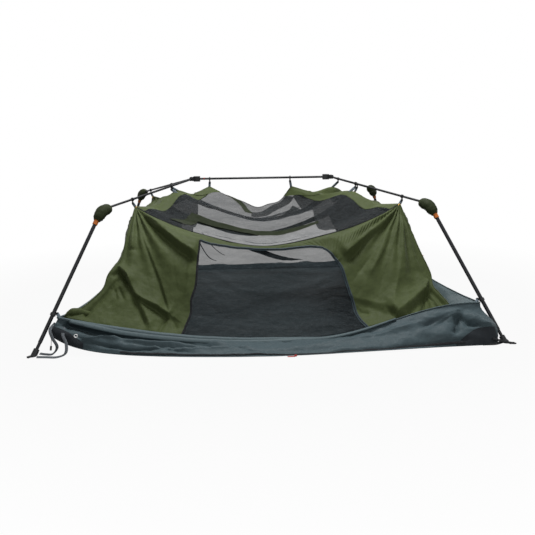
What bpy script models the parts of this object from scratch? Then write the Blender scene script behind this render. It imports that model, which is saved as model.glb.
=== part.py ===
"""Instant cabin tent: a folding hub frame on four telescopic legs, with its canopy hung under it.

Metres, +Z up. The origin is on the ground under the middle of the ridge pole, the door faces -Y.
The tent stands as it does just after opening: the frame is spread and its legs are still short.
"""

import math

import bmesh
import bpy
from mathutils import Matrix, Vector

# Frame layout
RIDGE_Z = 1.056
RIDGE_END_X = 0.545
HUB_PIN_X = 0.600
HUB_PIN_Y = 0.040
ELBOW = Vector((1.177, 0.967, 0.889))
FOOT = Vector((1.553, 1.514, 0.0))

# Tubes
RIDGE_R = 0.009
ROOF_POLE_R = 0.0085
LEG_TUBE_R = 0.013
LEG_BORE_R = 0.0112
LEG_INNER_R = 0.0107
TUBE_SIDES = 12
GAP = 0.0004

# Hub: a block on the ridge pole's end, with a pair of upright cheeks for each roof pole
HUB_BLOCK = Vector((0.056, 0.036, 0.046))
HUB_BLOCK_X = 0.558
HUB_SLOT = 0.0150
HUB_CHEEK = 0.0065
HUB_CHEEK_R = 0.0170
HUB_WEB = Vector((0.0400, 0.0320, 0.0057))
HUB_PIN_R = 0.0035
EYE_BORE_R = 0.0040
EYE_THICK = 0.0085
EYE_WIDTH = 0.0180
EYE_REACH = 0.0240

# Elbow: both pins lie off the leg's own line, so a folded leg clears its roof pole
PIN_INSET = 0.027
SPLAY_PIN_DOWN = 0.040
LINK_THICK = 0.0110
FORK_SLOT = 0.0118
FORK_WIDTH = 0.0230
FORK_PIN_R = 0.0028
LINK_BORE_R = 0.0032
LINK_R = 0.0085

# Places along a leg, measured down from the elbow
COLLAR_TOP = 0.086
COLLAR_END = 0.122
COLLAR_R = 0.0175
TUBE_END_ABOVE_FOOT = 0.095
INNER_TOP = 0.158
FOOT_TOP = 0.050
FOOT_R = 0.0185
BUTTON_AT = 0.106
BUTTON_R = 0.0050
BUTTON_PROUD = 0.0030
CLIP_AT = {"fl": 0.812, "fr": 0.785, "bl": 0.785, "br": 0.812}

# Fabric
CLOTH = 0.0024
SEAM_GAP = 0.0050
FLOOR_THICK = 0.0040

# How finely the canopy panels are divided, and which columns of the front the door takes
HIP_STEPS = 12
ROOF_COLUMNS = 16
FRONT_COLUMNS = 42
FRONT_BAND = 2
FRONT_DROP = 13
DOOR_FIRST = 12
DOOR_LAST = 30
SIDE_HIP = 3
SIDE_DROP = 8
BACK_COLUMNS = 18
BACK_ROWS = 9

CORNERS = {"fl": (-1, -1), "fr": (1, -1), "bl": (-1, 1), "br": (1, 1)}

# Where each corner and mid hook sits along its roof pole, as a share from hub pin to elbow
CORNER_HOOKS = {"fl": 0.698, "fr": 0.756, "bl": 0.804, "br": 0.614}
MID_HOOKS = {"fl": 0.262, "fr": 0.282, "bl": 0.376, "br": 0.172}
RIDGE_HOOKS = {"left": -0.448, "right": 0.246}

# Peaks of the canopy under the hooks
PEAK = {
    "corner_fl": (-0.985, -0.690, 0.885),
    "corner_fr": (1.020, -0.745, 0.875),
    "corner_bl": (-1.050, 0.790, 0.865),
    "corner_br": (0.935, 0.620, 0.885),
    "mid_fl": (-0.718, -0.305, 0.962),
    "mid_fr": (0.720, -0.320, 0.950),
    "mid_bl": (-0.770, 0.408, 0.936),
    "mid_br": (0.655, 0.224, 0.955),
    "ridge_left": (-0.452, 0.0, 0.985),
    "ridge_right": (0.255, 0.0, 0.975),
}

# Slack seams of the canopy between its peaks
HIP_DIP = 0.045
RIDGE_SAG = [(-0.30, 0.0, 0.888), (-0.040, 0.0, 0.813), (0.14, 0.0, 0.882)]
FRONT_EAVE = [
    (-0.80, -0.80, 0.800),
    (-0.50, -0.92, 0.700),
    (-0.04, -0.99, 0.608),
    (0.45, -0.93, 0.680),
    (0.80, -0.84, 0.780),
]
BACK_EAVE = [(-0.66, 0.92, 0.620), (-0.05, 1.02, 0.445), (0.55, 0.84, 0.610)]
LEFT_EAVE = [(-1.085, -0.30, 0.750), (-1.115, 0.25, 0.735)]
RIGHT_EAVE = [(1.105, -0.30, 0.745), (1.085, 0.20, 0.750)]
DOOR_TOP = [
    (-0.487, -1.00, 0.650),
    (-0.04, -1.03, 0.586),
    (0.34, -1.02, 0.598),
    (0.47, -1.03, 0.545),
]
HEAD_ENDS = [(-0.78, -0.90, 0.745), (0.76, -0.93, 0.690)]
SILL_FRONT = [
    (-1.368, -1.372, 0.214),
    (-0.960, -1.390, 0.124),
    (-0.610, -1.392, 0.070),
    (-0.190, -1.392, 0.040),
    (0.240, -1.392, 0.038),
    (0.650, -1.392, 0.092),
    (0.980, -1.390, 0.192),
    (1.345, -1.372, 0.244),
]
SILL_LEFT = [
    (-1.392, -1.345, 0.214),
    (-1.400, -0.700, 0.150),
    (-1.395, 0.0, 0.128),
    (-1.400, 0.700, 0.150),
    (-1.392, 1.345, 0.214),
]
SILL_RIGHT = [
    (1.370, -1.345, 0.240),
    (1.392, -0.700, 0.208),
    (1.390, 0.0, 0.206),
    (1.392, 0.700, 0.210),
    (1.392, 1.345, 0.214),
]
SILL_BACK = [
    (-1.368, 1.372, 0.214),
    (-1.150, 1.390, 0.118),
    (-0.700, 1.390, 0.052),
    (0.0, 1.390, 0.050),
    (0.700, 1.390, 0.052),
    (1.150, 1.390, 0.118),
    (1.368, 1.372, 0.214),
]
SEAM = {
    "fl": [
        (-1.022, -0.900, 0.690),
        (-1.055, -1.020, 0.535),
        (-1.128, -1.100, 0.452),
        (-1.160, -1.180, 0.360),
        (-1.265, -1.280, 0.268),
    ],
    "fr": [
        (1.078, -0.870, 0.680),
        (1.124, -0.970, 0.535),
        (1.172, -1.060, 0.400),
        (1.165, -1.130, 0.325),
        (1.250, -1.250, 0.262),
    ],
    "bl": [(-1.150, 1.060, 0.500)],
    "br": [(1.100, 0.980, 0.520)],
}

# How far down its seam a side's eave starts, and the front's head line
EAVE_SHARE = {"fl": 0.40, "fr": 0.40, "bl": 0.22, "br": 0.22}
HEAD_SHARE = 0.30

# Deep folds of the front: lines of (x, z), how far each lifts the cloth, its width at the line's two
# ends, and its kind
FRONT_FOLDS = [
    (
        [(-0.955, 0.846), (-0.851, 0.793), (-0.736, 0.724), (-0.622, 0.646), (-0.495, 0.583)],
        0.050,
        (0.030, 0.115),
        "roll",
    ),
    (
        [(-0.684, 0.188), (-0.774, 0.416), (-0.856, 0.585), (-0.921, 0.719)],
        0.028,
        (0.080, 0.060),
        "valley",
    ),
    (
        [(-0.808, 0.112), (-0.872, 0.229), (-0.931, 0.327), (-1.050, 0.500)],
        0.030,
        (0.070, 0.050),
        "ridge",
    ),
    (
        [(0.520, 0.530), (0.608, 0.589), (0.724, 0.671), (0.862, 0.755), (0.990, 0.838)],
        0.052,
        (0.130, 0.030),
        "roll",
    ),
    (
        [(0.845, 0.146), (0.901, 0.334), (0.956, 0.532), (0.997, 0.753)],
        0.055,
        (0.120, 0.070),
        "gable",
    ),
]
SIDE_FOLDS = 6
SIDE_FOLD_DEPTH = 0.030
ROOF_WAVES = 2.5
ROOF_WAVE_DEPTH = 0.012

# Groundsheet tub: its top edge hangs slack between the leg clips, and its front lip lies out on the
# ground; RISE says how near the corners the top edge starts to climb
TUB_HALF = 1.440
TUB_MID_TOP = {"front": 0.026, "back": 0.036, "left": 0.115, "right": 0.200}
TUB_END_TOP = {
    "front": (0.222, 0.250),
    "right": (0.250, 0.222),
    "back": (0.222, 0.222),
    "left": (0.222, 0.222),
}
TUB_RISE = {"front": 2.0, "back": 5.0, "left": 2.4, "right": 2.4}
TUB_LIP = {"front": 0.230, "back": 0.120, "left": 0.050, "right": 0.050}

# How far the lip's front corners lie off the tub's square, and how near the corner that starts
LIP_SHIFT = {"fl": ((0.0, 0.0, 0.095), 8), "fr": ((0.045, -0.125, -0.008), 4)}

# Guy straps of the front left corner
STRAP_R = 0.0050
STRAP_A = [
    (-1.428, -1.412, 0.190),
    (-1.450, -1.462, 0.160),
    (-1.428, -1.500, 0.115),
    (-1.398, -1.515, 0.060),
    (-1.430, -1.512, 0.012),
    (-1.480, -1.500, 0.007),
    (-1.522, -1.480, 0.007),
]
STRAP_B = [
    (-1.368, -1.434, 0.165),
    (-1.362, -1.492, 0.130),
    (-1.330, -1.545, 0.085),
    (-1.330, -1.580, 0.035),
    (-1.385, -1.575, 0.010),
    (-1.460, -1.560, 0.007),
    (-1.520, -1.552, 0.007),
]
ZIP_PULL_AT = Vector((0.130, -1.690, 0.012))


def clear_scene():
    for obj in list(bpy.data.objects):
        bpy.data.objects.remove(obj)


def material(name, colour, roughness, metallic=0.0):
    made = bpy.data.materials.new(name)
    made.use_nodes = True
    shader = made.node_tree.nodes["Principled BSDF"]
    shader.inputs["Base Color"].default_value = (*colour, 1)
    shader.inputs["Roughness"].default_value = roughness
    shader.inputs["Metallic"].default_value = metallic
    return made


def empty(name, at):
    made = bpy.data.objects.new(name, None)
    made.location = at
    bpy.context.scene.collection.objects.link(made)
    return made


def add_object(name, bm, finish=None, pivot=None):
    """Makes an object of bm, which is in world coordinates, with its origin on the pivot empty."""
    bmesh.ops.recalc_face_normals(bm, faces=bm.faces)
    mesh = bpy.data.meshes.new(name)
    bm.to_mesh(mesh)
    bm.free()
    made = bpy.data.objects.new(name, mesh)
    bpy.context.scene.collection.objects.link(made)
    if finish:
        mesh.materials.append(finish)
    if pivot:
        mesh.transform(Matrix.Translation(-pivot.location))
        made.parent = pivot
    return made


def smooth(obj, degrees=35):
    obj.data.shade_smooth()
    obj.data.set_sharp_from_angle(angle=math.radians(degrees))


def axes_at(point, direction, side=(0, 0, 1)):
    """A matrix at point whose Z runs along direction and whose X lies near side."""
    z = Vector(direction).normalized()
    x = Vector(side) - z * z.dot(Vector(side))
    x = x.normalized() if x.length > 1e-6 else z.orthogonal().normalized()
    y = z.cross(x)
    turn = Matrix((x, y, z)).transposed().to_4x4()
    return Matrix.Translation(Vector(point)) @ turn


def rod(start, end, radius, sides=TUBE_SIDES, side=(0, 0, 1), end_radius=None):
    """A solid round bar between two points."""
    bm = bmesh.new()
    start, end = Vector(start), Vector(end)
    span = end - start
    place = axes_at((start + end) / 2, span, side)
    bmesh.ops.create_cone(
        bm,
        cap_ends=True,
        segments=sides,
        radius1=radius,
        radius2=radius if end_radius is None else end_radius,
        depth=span.length,
        matrix=place,
    )
    return bm


def pipe(start, end, outer, inner, sides=TUBE_SIDES, side=(0, 0, 1)):
    """A tube with a through bore between two points."""
    bm = bmesh.new()
    start, end = Vector(start), Vector(end)
    place = axes_at(start, end - start, side)
    length = (end - start).length
    profile = [(outer, 0), (outer, length), (inner, length), (inner, 0)]
    rings = []
    for radius, along in profile:
        ring = []
        for i in range(sides):
            turn = math.tau * i / sides
            local = Vector((radius * math.cos(turn), radius * math.sin(turn), along))
            ring.append(bm.verts.new(place @ local))
        rings.append(ring)
    close_rings(bm, rings + [rings[0]], sides)
    return bm


def close_rings(bm, rings, sides):
    for low, high in zip(rings, rings[1:]):
        for i in range(sides):
            j = (i + 1) % sides
            bm.faces.new((low[i], low[j], high[j], high[i]))


def block(place, size, bevel=0.0):
    """A box of the given size in the frame of a matrix."""
    bm = bmesh.new()
    bmesh.ops.create_cube(bm, size=1.0, matrix=Matrix.Diagonal((*size, 1)))
    if bevel:
        bmesh.ops.bevel(
            bm, geom=bm.edges[:], offset=bevel, segments=1, affect="EDGES"
        )
    bmesh.ops.transform(bm, matrix=place, verts=bm.verts)
    return bm


def combined(name, base, tools, finish, pivot):
    """Joins or cuts base with each (bmesh, operation) tool and keeps one solid."""
    made = add_object(name, base, finish)
    helpers = []
    for tool, kind in tools:
        helper = add_object(name + "_tool", tool)
        modifier = made.modifiers.new(kind, "BOOLEAN")
        modifier.operation = kind
        modifier.solver = "EXACT"
        modifier.object = helper
        helpers.append(helper)
    bpy.context.view_layer.update()
    graph = bpy.context.evaluated_depsgraph_get()
    solid = bpy.data.meshes.new_from_object(made.evaluated_get(graph))
    made.modifiers.clear()
    made.data = solid
    for helper in helpers:
        bpy.data.objects.remove(helper)
    solid.materials.clear()
    solid.materials.append(finish)
    solid.transform(Matrix.Translation(-pivot.location))
    made.parent = pivot
    return made


def spline(points, count):
    """count + 1 points along a smooth curve through the given points."""
    points = [Vector(p) for p in points]
    ends = [2 * points[0] - points[1], *points, 2 * points[-1] - points[-2]]
    spans = len(points) - 1
    found = []
    for step in range(count + 1):
        at = min(step * spans / count, spans - 1e-9)
        i = int(at)
        t = at - i
        a, b, c, d = ends[i : i + 4]
        found.append(
            0.5
            * (
                2 * b
                + (c - a) * t
                + (2 * a - 5 * b + 4 * c - d) * t * t
                + (3 * b - a - 3 * c + d) * t ** 3
            )
        )
    return found


def coons(top, bottom, left, right):
    """Rows of points that fill the four edge curves; top and bottom run left to right."""
    wide, tall = len(top) - 1, len(left) - 1
    rows = []
    for j in range(tall + 1):
        v = j / tall
        row = []
        for i in range(wide + 1):
            u = i / wide
            ruled = (1 - v) * top[i] + v * bottom[i]
            across = (1 - u) * left[j] + u * right[j]
            corners = (
                (1 - u) * (1 - v) * top[0]
                + u * (1 - v) * top[-1]
                + (1 - u) * v * bottom[0]
                + u * v * bottom[-1]
            )
            row.append(ruled + across - corners)
        rows.append(row)
    return rows


def fold(rows, push, depth, count, spread=1.0):
    """Adds soft folds that run down the rows and open out away from the top edge."""
    tall, wide = len(rows) - 1, len(rows[0]) - 1
    for j, row in enumerate(rows):
        v = j / tall
        for i, point in enumerate(row):
            u = i / wide
            edge = math.sin(math.pi * u) * math.sin(math.pi * v) ** spread
            wave = math.sin(math.tau * count * u + 2.2 * v)
            row[i] = point + Vector(push) * depth * edge * (0.35 + wave)
    return rows


def bend(kind, s):
    """The height of a fold across it; s is 0 on its line and 1 at one width above the line."""
    if kind == "ridge":
        return math.exp(-s * s)
    if kind == "valley":
        return -math.exp(-s * s)
    if kind == "gable":
        return math.exp(-((s / 3) ** 2)) if s > 0 else math.exp(-((s / 1.3) ** 2))
    if s > 0:
        return math.exp(-((s / 1.5) ** 2))
    share = min(-s / 0.55, 1.0)
    return 1 - 1.9 * share * share * (3 - 2 * share) - 0.9 * math.exp(-(((-s - 0.55) / 0.9) ** 2))


def fold_along(rows, line, push, depth, widths, kind):
    """Adds one fold along a line of (x, z); it fades out at the line's ends and the grid's edges."""
    line = [Vector(p) for p in line]
    total = sum((b - a).length for a, b in zip(line, line[1:]))
    tall, wide = len(rows) - 1, len(rows[0]) - 1
    for j, row in enumerate(rows):
        for i, point in enumerate(row):
            flat = Vector((point.x, point.z))
            best, done = None, 0.0
            for start, end in zip(line, line[1:]):
                run = (end - start).normalized()
                along = min(max((flat - start).dot(run), 0.0), (end - start).length)
                off = flat - start - run * along
                if best is None or off.length < best[0]:
                    side = 1 if run.x * off.y - run.y * off.x >= 0 else -1
                    best = (off.length, side, (done + along) / total)
                done += (end - start).length
            away, side, share = best
            width = widths[0] + (widths[1] - widths[0]) * share
            held = min(1.0, 14 * i / wide, 14 * (wide - i) / wide, 9 * j / tall, 9 * (tall - j) / tall)
            fade = min(1.0, 0.15 + 5 * share, 0.15 + 5 * (1 - share))
            row[i] = point + push * depth * held * fade * bend(kind, side * away / width)
    return rows


def cloth(name, rows, finish, pivot, keep=None, thick=CLOTH):
    """A closed sheet through the rows; keep(i, j) says which cells it has."""
    bm = bmesh.new()
    grid = [[bm.verts.new(p) for p in row] for row in rows]
    for j in range(len(rows) - 1):
        for i in range(len(rows[0]) - 1):
            if keep is None or keep(i, j):
                bm.faces.new(
                    (grid[j][i], grid[j][i + 1], grid[j + 1][i + 1], grid[j + 1][i])
                )
    loose = [v for v in bm.verts if not v.link_faces]
    bmesh.ops.delete(bm, geom=loose, context="VERTS")
    made = add_object(name, bm, finish, pivot)
    shell = made.modifiers.new("cloth", "SOLIDIFY")
    shell.thickness = thick
    shell.offset = 0.0
    made.data.shade_smooth()
    return made


def inset(rows, left=0.0, right=0.0, top=0.0, bottom=0.0):
    """Draws the sheet's edges in, in metres, so that neighbouring panels stay apart at a seam."""
    for row in rows:
        if left:
            row[0] = row[0] + (row[1] - row[0]).normalized() * left
        if right:
            row[-1] = row[-1] + (row[-2] - row[-1]).normalized() * right
    for i in range(len(rows[0])):
        if top:
            rows[0][i] = rows[0][i] + (rows[1][i] - rows[0][i]).normalized() * top
        if bottom:
            rows[-1][i] = rows[-1][i] + (rows[-2][i] - rows[-1][i]).normalized() * bottom
    return rows


def peak(name):
    return Vector(PEAK[name])


def hip_line(names, steps):
    """A seam along the hooks of a roof pole, which dips halfway from one hook to the next."""
    points = [peak(names[0])]
    for first, second in zip(names, names[1:]):
        middle = peak(first).lerp(peak(second), 0.5)
        points += [middle - Vector((0, 0, HIP_DIP)), peak(second)]
    return spline(points, steps)


class Corner:
    """Points and directions of one roof pole and its leg."""

    def __init__(self, key):
        sx, sy = CORNERS[key]
        self.key = key
        self.pin = Vector((sx * HUB_PIN_X, sy * HUB_PIN_Y, RIDGE_Z))
        self.elbow = Vector((sx * ELBOW.x, sy * ELBOW.y, ELBOW.z))
        self.foot = Vector((sx * FOOT.x, sy * FOOT.y, FOOT.z))
        self.pole_dir = (self.elbow - self.pin).normalized()
        self.leg_dir = (self.foot - self.elbow).normalized()
        self.leg_length = (self.foot - self.elbow).length
        self.hub_axis = self.pole_dir.cross(Vector((0, 0, 1))).normalized()
        self.bend_axis = self.leg_dir.cross(-self.pole_dir).normalized()
        inward = (self.leg_dir - self.pole_dir).normalized()
        half = self.leg_dir.angle(-self.pole_dir) / 2
        self.fold_pin = self.elbow + inward * (PIN_INSET / math.sin(half))
        self.splay_pin = self.down(SPLAY_PIN_DOWN)

    def down(self, distance):
        """A point on the leg, measured from the elbow."""
        return self.elbow + self.leg_dir * distance

    def along(self, share):
        """A point on the roof pole, as a share from hub pin to elbow."""
        return self.pin.lerp(self.elbow, share)


def ridge_pole(finish, pivot):
    start, end = (-RIDGE_END_X, 0, RIDGE_Z), (RIDGE_END_X, 0, RIDGE_Z)
    pole = add_object("ridge_pole", rod(start, end, RIDGE_R), finish, pivot)
    smooth(pole)


def hub(name, side, corners, finish, pivot):
    """A block with a socket for the ridge pole, and cheeks with a level pin for each roof pole."""
    place = Matrix.Translation((side * HUB_BLOCK_X, 0, RIDGE_Z))
    base = block(place, HUB_BLOCK, 0.003)
    mouth = (side * (RIDGE_END_X - 0.145), 0, RIDGE_Z)
    bore = rod(mouth, (side * (RIDGE_END_X + GAP), 0, RIDGE_Z), RIDGE_R + GAP)
    tools = [(bore, "DIFFERENCE")]
    for corner in corners:
        azimuth = Vector((corner.pole_dir.x, corner.pole_dir.y, 0)).normalized()
        for cheek in (-1, 1):
            middle = corner.pin + corner.hub_axis * cheek * (HUB_SLOT + HUB_CHEEK) / 2
            half = corner.hub_axis * HUB_CHEEK / 2
            tools.append((rod(middle - half, middle + half, HUB_CHEEK_R, 12), "UNION"))
            web_place = axes_at(middle - azimuth * HUB_WEB.x / 2, corner.hub_axis, azimuth)
            tools.append((block(web_place, HUB_WEB), "UNION"))
    for corner in corners:
        reach = corner.hub_axis * (HUB_SLOT / 2 + HUB_CHEEK - 0.001)
        tools.append((rod(corner.pin - reach, corner.pin + reach, HUB_PIN_R, 8), "UNION"))
    made = combined(name, base, tools, finish, pivot)
    smooth(made)


def roof_pole(corner, finish, pivot):
    """A tube with a flat eye on the hub pin and a fork with its pin at the elbow."""
    direction = corner.pole_dir
    tube_start = corner.pin + direction * (EYE_REACH - 0.004)
    tube_end = corner.elbow - direction * 0.028
    base = rod(tube_start, tube_end, ROOF_POLE_R, side=corner.hub_axis)
    middle = corner.pin + direction * EYE_REACH / 2
    eye_place = axes_at(middle, direction, corner.hub_axis)
    tongue = block(eye_place, (EYE_THICK - 0.0008, EYE_WIDTH * 0.9, EYE_REACH))
    lift = corner.hub_axis * EYE_THICK / 2
    boss = rod(corner.pin - lift, corner.pin + lift, EYE_WIDTH / 2, 12)
    bore = rod(corner.pin - lift * 4, corner.pin + lift * 4, EYE_BORE_R, 8)
    tools = [(tongue, "UNION"), (boss, "UNION"), (bore, "DIFFERENCE")]
    inward = corner.fold_pin - corner.elbow
    inward -= direction * inward.dot(direction)
    root = corner.elbow - direction * 0.045
    lean = corner.fold_pin - root
    fork_place = axes_at(root + lean / 2, lean, corner.bend_axis)
    reach = lean.length + 0.020
    fork = block(fork_place, (FORK_WIDTH, 0.020, reach))
    slot_place = axes_at(corner.fold_pin, direction, corner.bend_axis)
    slot = block(slot_place, (FORK_SLOT, 0.060, 0.052))
    across = corner.bend_axis * (FORK_WIDTH / 2 - 0.001)
    pin = rod(corner.fold_pin - across, corner.fold_pin + across, FORK_PIN_R, 8)
    tools += [(fork, "UNION"), (slot, "DIFFERENCE"), (pin, "UNION")]
    made = combined("roof_pole_" + corner.key, base, tools, finish, pivot)
    smooth(made)


def elbow_link(corner, finish, pivot):
    """A flat link that carries the folding pin's bore and the leg's splay pin bore."""
    half = corner.bend_axis * LINK_THICK / 2
    first, second = corner.fold_pin, corner.splay_pin
    place = axes_at((first + second) / 2, second - first, corner.bend_axis)
    size = (LINK_THICK - 0.0008, 2 * LINK_R * 0.94, (second - first).length)
    base = block(place, size)
    tools = []
    for end in (first, second):
        tools.append((rod(end - half, end + half, LINK_R, 10), "UNION"))
    for end in (first, second):
        tools.append((rod(end - half * 3, end + half * 3, LINK_BORE_R, 8), "DIFFERENCE"))
    made = combined("elbow_link_" + corner.key, base, tools, finish, pivot)
    smooth(made)


def leg_collar(corner, finish, pivot):
    """The coloured release collar: a fork on the splay pin, a spigot in the tube, a button pocket."""
    top, end = corner.down(COLLAR_TOP), corner.down(COLLAR_END)
    base = rod(top, end, COLLAR_R, 16, corner.bend_axis)
    spigot = rod(corner.down(COLLAR_END - 0.005), corner.down(INNER_TOP - 0.004), LEG_INNER_R)
    fork_top = corner.down(SPLAY_PIN_DOWN - 0.009)
    fork_end = corner.down(COLLAR_TOP + 0.004)
    place = axes_at((fork_top + fork_end) / 2, fork_end - fork_top, corner.bend_axis)
    fork = block(place, (FORK_WIDTH, 0.018, (fork_end - fork_top).length))
    slot_place = axes_at(corner.splay_pin, corner.leg_dir, corner.bend_axis)
    slot = block(slot_place, (FORK_SLOT, 0.040, 0.028))
    across = corner.bend_axis * (FORK_WIDTH / 2 - 0.001)
    pin = rod(corner.splay_pin - across, corner.splay_pin + across, FORK_PIN_R, 8)
    out = button_out(corner)
    mouth = corner.down(BUTTON_AT)
    pocket = rod(
        mouth + out * (LEG_TUBE_R + 0.0006), mouth + out * 0.030, BUTTON_R + 0.0006, 14
    )
    tools = [
        (spigot, "UNION"),
        (fork, "UNION"),
        (slot, "DIFFERENCE"),
        (pin, "UNION"),
        (pocket, "DIFFERENCE"),
    ]
    made = combined("leg_collar_" + corner.key, base, tools, finish, pivot)
    smooth(made)


def button_out(corner):
    """The outward direction of a leg's release button."""
    return corner.bend_axis.cross(corner.leg_dir).normalized()


def leg_button(corner, finish, pivot):
    out = button_out(corner)
    seat = corner.down(BUTTON_AT) + out * (COLLAR_R - 0.0008)
    crown = corner.down(BUTTON_AT) + out * (COLLAR_R + BUTTON_PROUD)
    made = add_object(
        "leg_button_" + corner.key,
        rod(seat, crown, BUTTON_R, 14, end_radius=BUTTON_R * 0.8),
        finish,
        pivot,
    )
    smooth(made)


def leg_tubes(corner, finish, upper_pivot, lower_pivot):
    upper_end = corner.leg_length - TUBE_END_ABOVE_FOOT
    outer = pipe(
        corner.down(COLLAR_END + GAP),
        corner.down(upper_end),
        LEG_TUBE_R,
        LEG_BORE_R,
        side=corner.bend_axis,
    )
    smooth(add_object("leg_tube_" + corner.key, outer, finish, upper_pivot))
    inner = pipe(
        corner.down(INNER_TOP),
        corner.down(corner.leg_length - FOOT_TOP - GAP),
        LEG_INNER_R,
        LEG_INNER_R - 0.0016,
        side=corner.bend_axis,
    )
    smooth(add_object("leg_inner_" + corner.key, inner, finish, lower_pivot))


def leg_foot(corner, finish, pivot):
    """A moulded cap, cut flat on the ground, with a lug for the stake ring."""
    top = corner.down(corner.leg_length - FOOT_TOP)
    low = corner.down(corner.leg_length + 0.030)
    base = rod(top, low, FOOT_R, 16, corner.bend_axis, end_radius=FOOT_R * 1.15)
    away = Vector((corner.leg_dir.x, corner.leg_dir.y, 0)).normalized()
    place = axes_at(corner.foot + away * 0.022 + Vector((0, 0, 0.006)), away, (0, 0, 1))
    lug = block(place, (0.012, 0.016, 0.050), 0.002)
    ground = block(Matrix.Translation(corner.foot - Vector((0, 0, 0.1))), (0.4, 0.4, 0.2))
    tools = [(lug, "UNION"), (ground, "DIFFERENCE")]
    made = combined("foot_" + corner.key, base, tools, finish, pivot)
    smooth(made)


def leg_clip(corner, finish, pivot):
    """A ring round the leg with a hook that holds the groundsheet's corner tab."""
    at = CLIP_AT[corner.key]
    low, high = corner.down(at - 0.009), corner.down(at + 0.009)
    base = rod(low, high, 0.0184, 16, corner.bend_axis)
    inward = -Vector((corner.leg_dir.x, corner.leg_dir.y, 0)).normalized()
    place = axes_at(corner.down(at) + inward * 0.026, inward, corner.leg_dir)
    arm = block(place, (0.012, 0.012, 0.028), 0.002)
    bore = rod(corner.down(at - 0.03), corner.down(at + 0.03), LEG_TUBE_R + 0.0005, 16)
    tools = [(arm, "UNION"), (bore, "DIFFERENCE")]
    made = combined("leg_clip_" + corner.key, base, tools, finish, pivot)
    smooth(made)


def pole_hook(name, centre, direction, pole_radius, finish, pivot):
    """A snap ring round a pole with a short hook that a webbing loop of the canopy hangs on."""
    half = Vector(direction).normalized() * 0.006
    base = rod(centre - half, centre + half, pole_radius + 0.0050, 14)
    drop = Vector((0, 0, -1))
    across = Vector(direction).cross(drop).normalized()
    place = axes_at(centre + drop * (pole_radius + 0.0115), drop, across)
    stem = block(place, (0.009, 0.010, 0.019), 0.0015)
    bore = rod(centre - half * 4, centre + half * 4, pole_radius + 0.0005, 12)
    made = combined(
        name, base, [(stem, "UNION"), (bore, "DIFFERENCE")], finish, pivot
    )
    smooth(made)


def elbow_cover(corner, finish, pivot):
    """A padded sleeve that wraps the elbow, open at both ends."""
    centre = corner.elbow.lerp(corner.fold_pin, 0.5)
    path = spline(
        [
            corner.elbow - corner.pole_dir * 0.092,
            corner.elbow - corner.pole_dir * 0.050 + (centre - corner.elbow) * 0.6,
            centre,
            corner.down(0.044) + (centre - corner.elbow) * 0.4,
            corner.down(0.090),
        ],
        8,
    )
    outer = [0.0155, 0.0320, 0.0395, 0.0415, 0.0420, 0.0415, 0.0395, 0.0350, 0.0265]
    inner = [0.0095, 0.0240, 0.0320, 0.0340, 0.0345, 0.0340, 0.0320, 0.0280, 0.0215]
    sides = 10
    bm = bmesh.new()
    rings = []
    stations = list(range(9)) + list(range(8, -1, -1))
    for order, k in enumerate(stations):
        ahead = path[min(k + 1, 8)] - path[max(k - 1, 0)]
        place = axes_at(path[k], ahead, corner.bend_axis)
        radius = outer[k] if order < 9 else inner[k]
        ring = []
        for i in range(sides):
            turn = math.tau * i / sides
            ring.append(
                bm.verts.new(place @ Vector((radius * math.cos(turn), radius * math.sin(turn), 0)))
            )
        rings.append(ring)
    close_rings(bm, rings + [rings[0]], sides)
    made = add_object("elbow_cover_" + corner.key, bm, finish, pivot)
    made.data.shade_smooth()


def rim_height(side, t):
    """How high the tub's top edge is at t along a side."""
    low = TUB_MID_TOP[side]
    high = TUB_END_TOP[side][0 if t < 0 else 1]
    if side == "front" and t > 0:
        s = min(max((t - 0.2) / 0.75, 0.0), 1.0)
        return low + (high - low) * s * s * (3 - 2 * s)
    return low + (high - low) * abs(t) ** TUB_RISE[side]


def tub_edge(side, t):
    """Three points of the tub at t from -1 to 1 along a side: floor edge, lip and top edge."""
    half = TUB_HALF
    bow = 1 - t * t
    lip = TUB_LIP[side] * bow ** 0.75
    run = {"front": 0.0, "back": math.pi, "left": -math.pi / 2, "right": math.pi / 2}[side]
    turn = Matrix.Rotation(run, 3, "Z")
    floor_edge = turn @ Vector((t * (half - 0.05), -(half - 0.05), 0))
    lip_edge = turn @ Vector((t * (half + 0.01), -half - lip, 0.004 + 0.012 * abs(t)))
    top_edge = turn @ Vector((t * (half - 0.03), -(half - 0.03) + 0.01 * bow, rim_height(side, t)))
    for key, (shift, near) in LIP_SHIFT.items():
        sx, sy = CORNERS[key]
        if lip_edge.x * sx > 0 and lip_edge.y * sy > 0:
            lip_edge += Vector(shift) * abs(t) ** near
    return [floor_edge, lip_edge, top_edge]


def floor_tub(finish, pivot):
    """A flat groundsheet with a slack skirt whose four top corners are held up by the leg clips."""
    steps = 12
    bm = bmesh.new()
    rings = [[], [], []]
    for side in ("front", "right", "back", "left"):
        for k in range(steps):
            t = -1 + 2 * k / steps
            for ring, point in zip(rings, tub_edge(side, t)):
                ring.append(bm.verts.new(point))
    count = len(rings[0])
    bm.faces.new(rings[0])
    for low, high in zip(rings, rings[1:]):
        for i in range(count):
            j = (i + 1) % count
            bm.faces.new((low[i], low[j], high[j], high[i]))
    made = add_object("floor_tub", bm, finish, pivot)
    shell = made.modifiers.new("cloth", "SOLIDIFY")
    shell.thickness = FLOOR_THICK
    shell.offset = -1.0
    made.data.shade_smooth()
    return made


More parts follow.
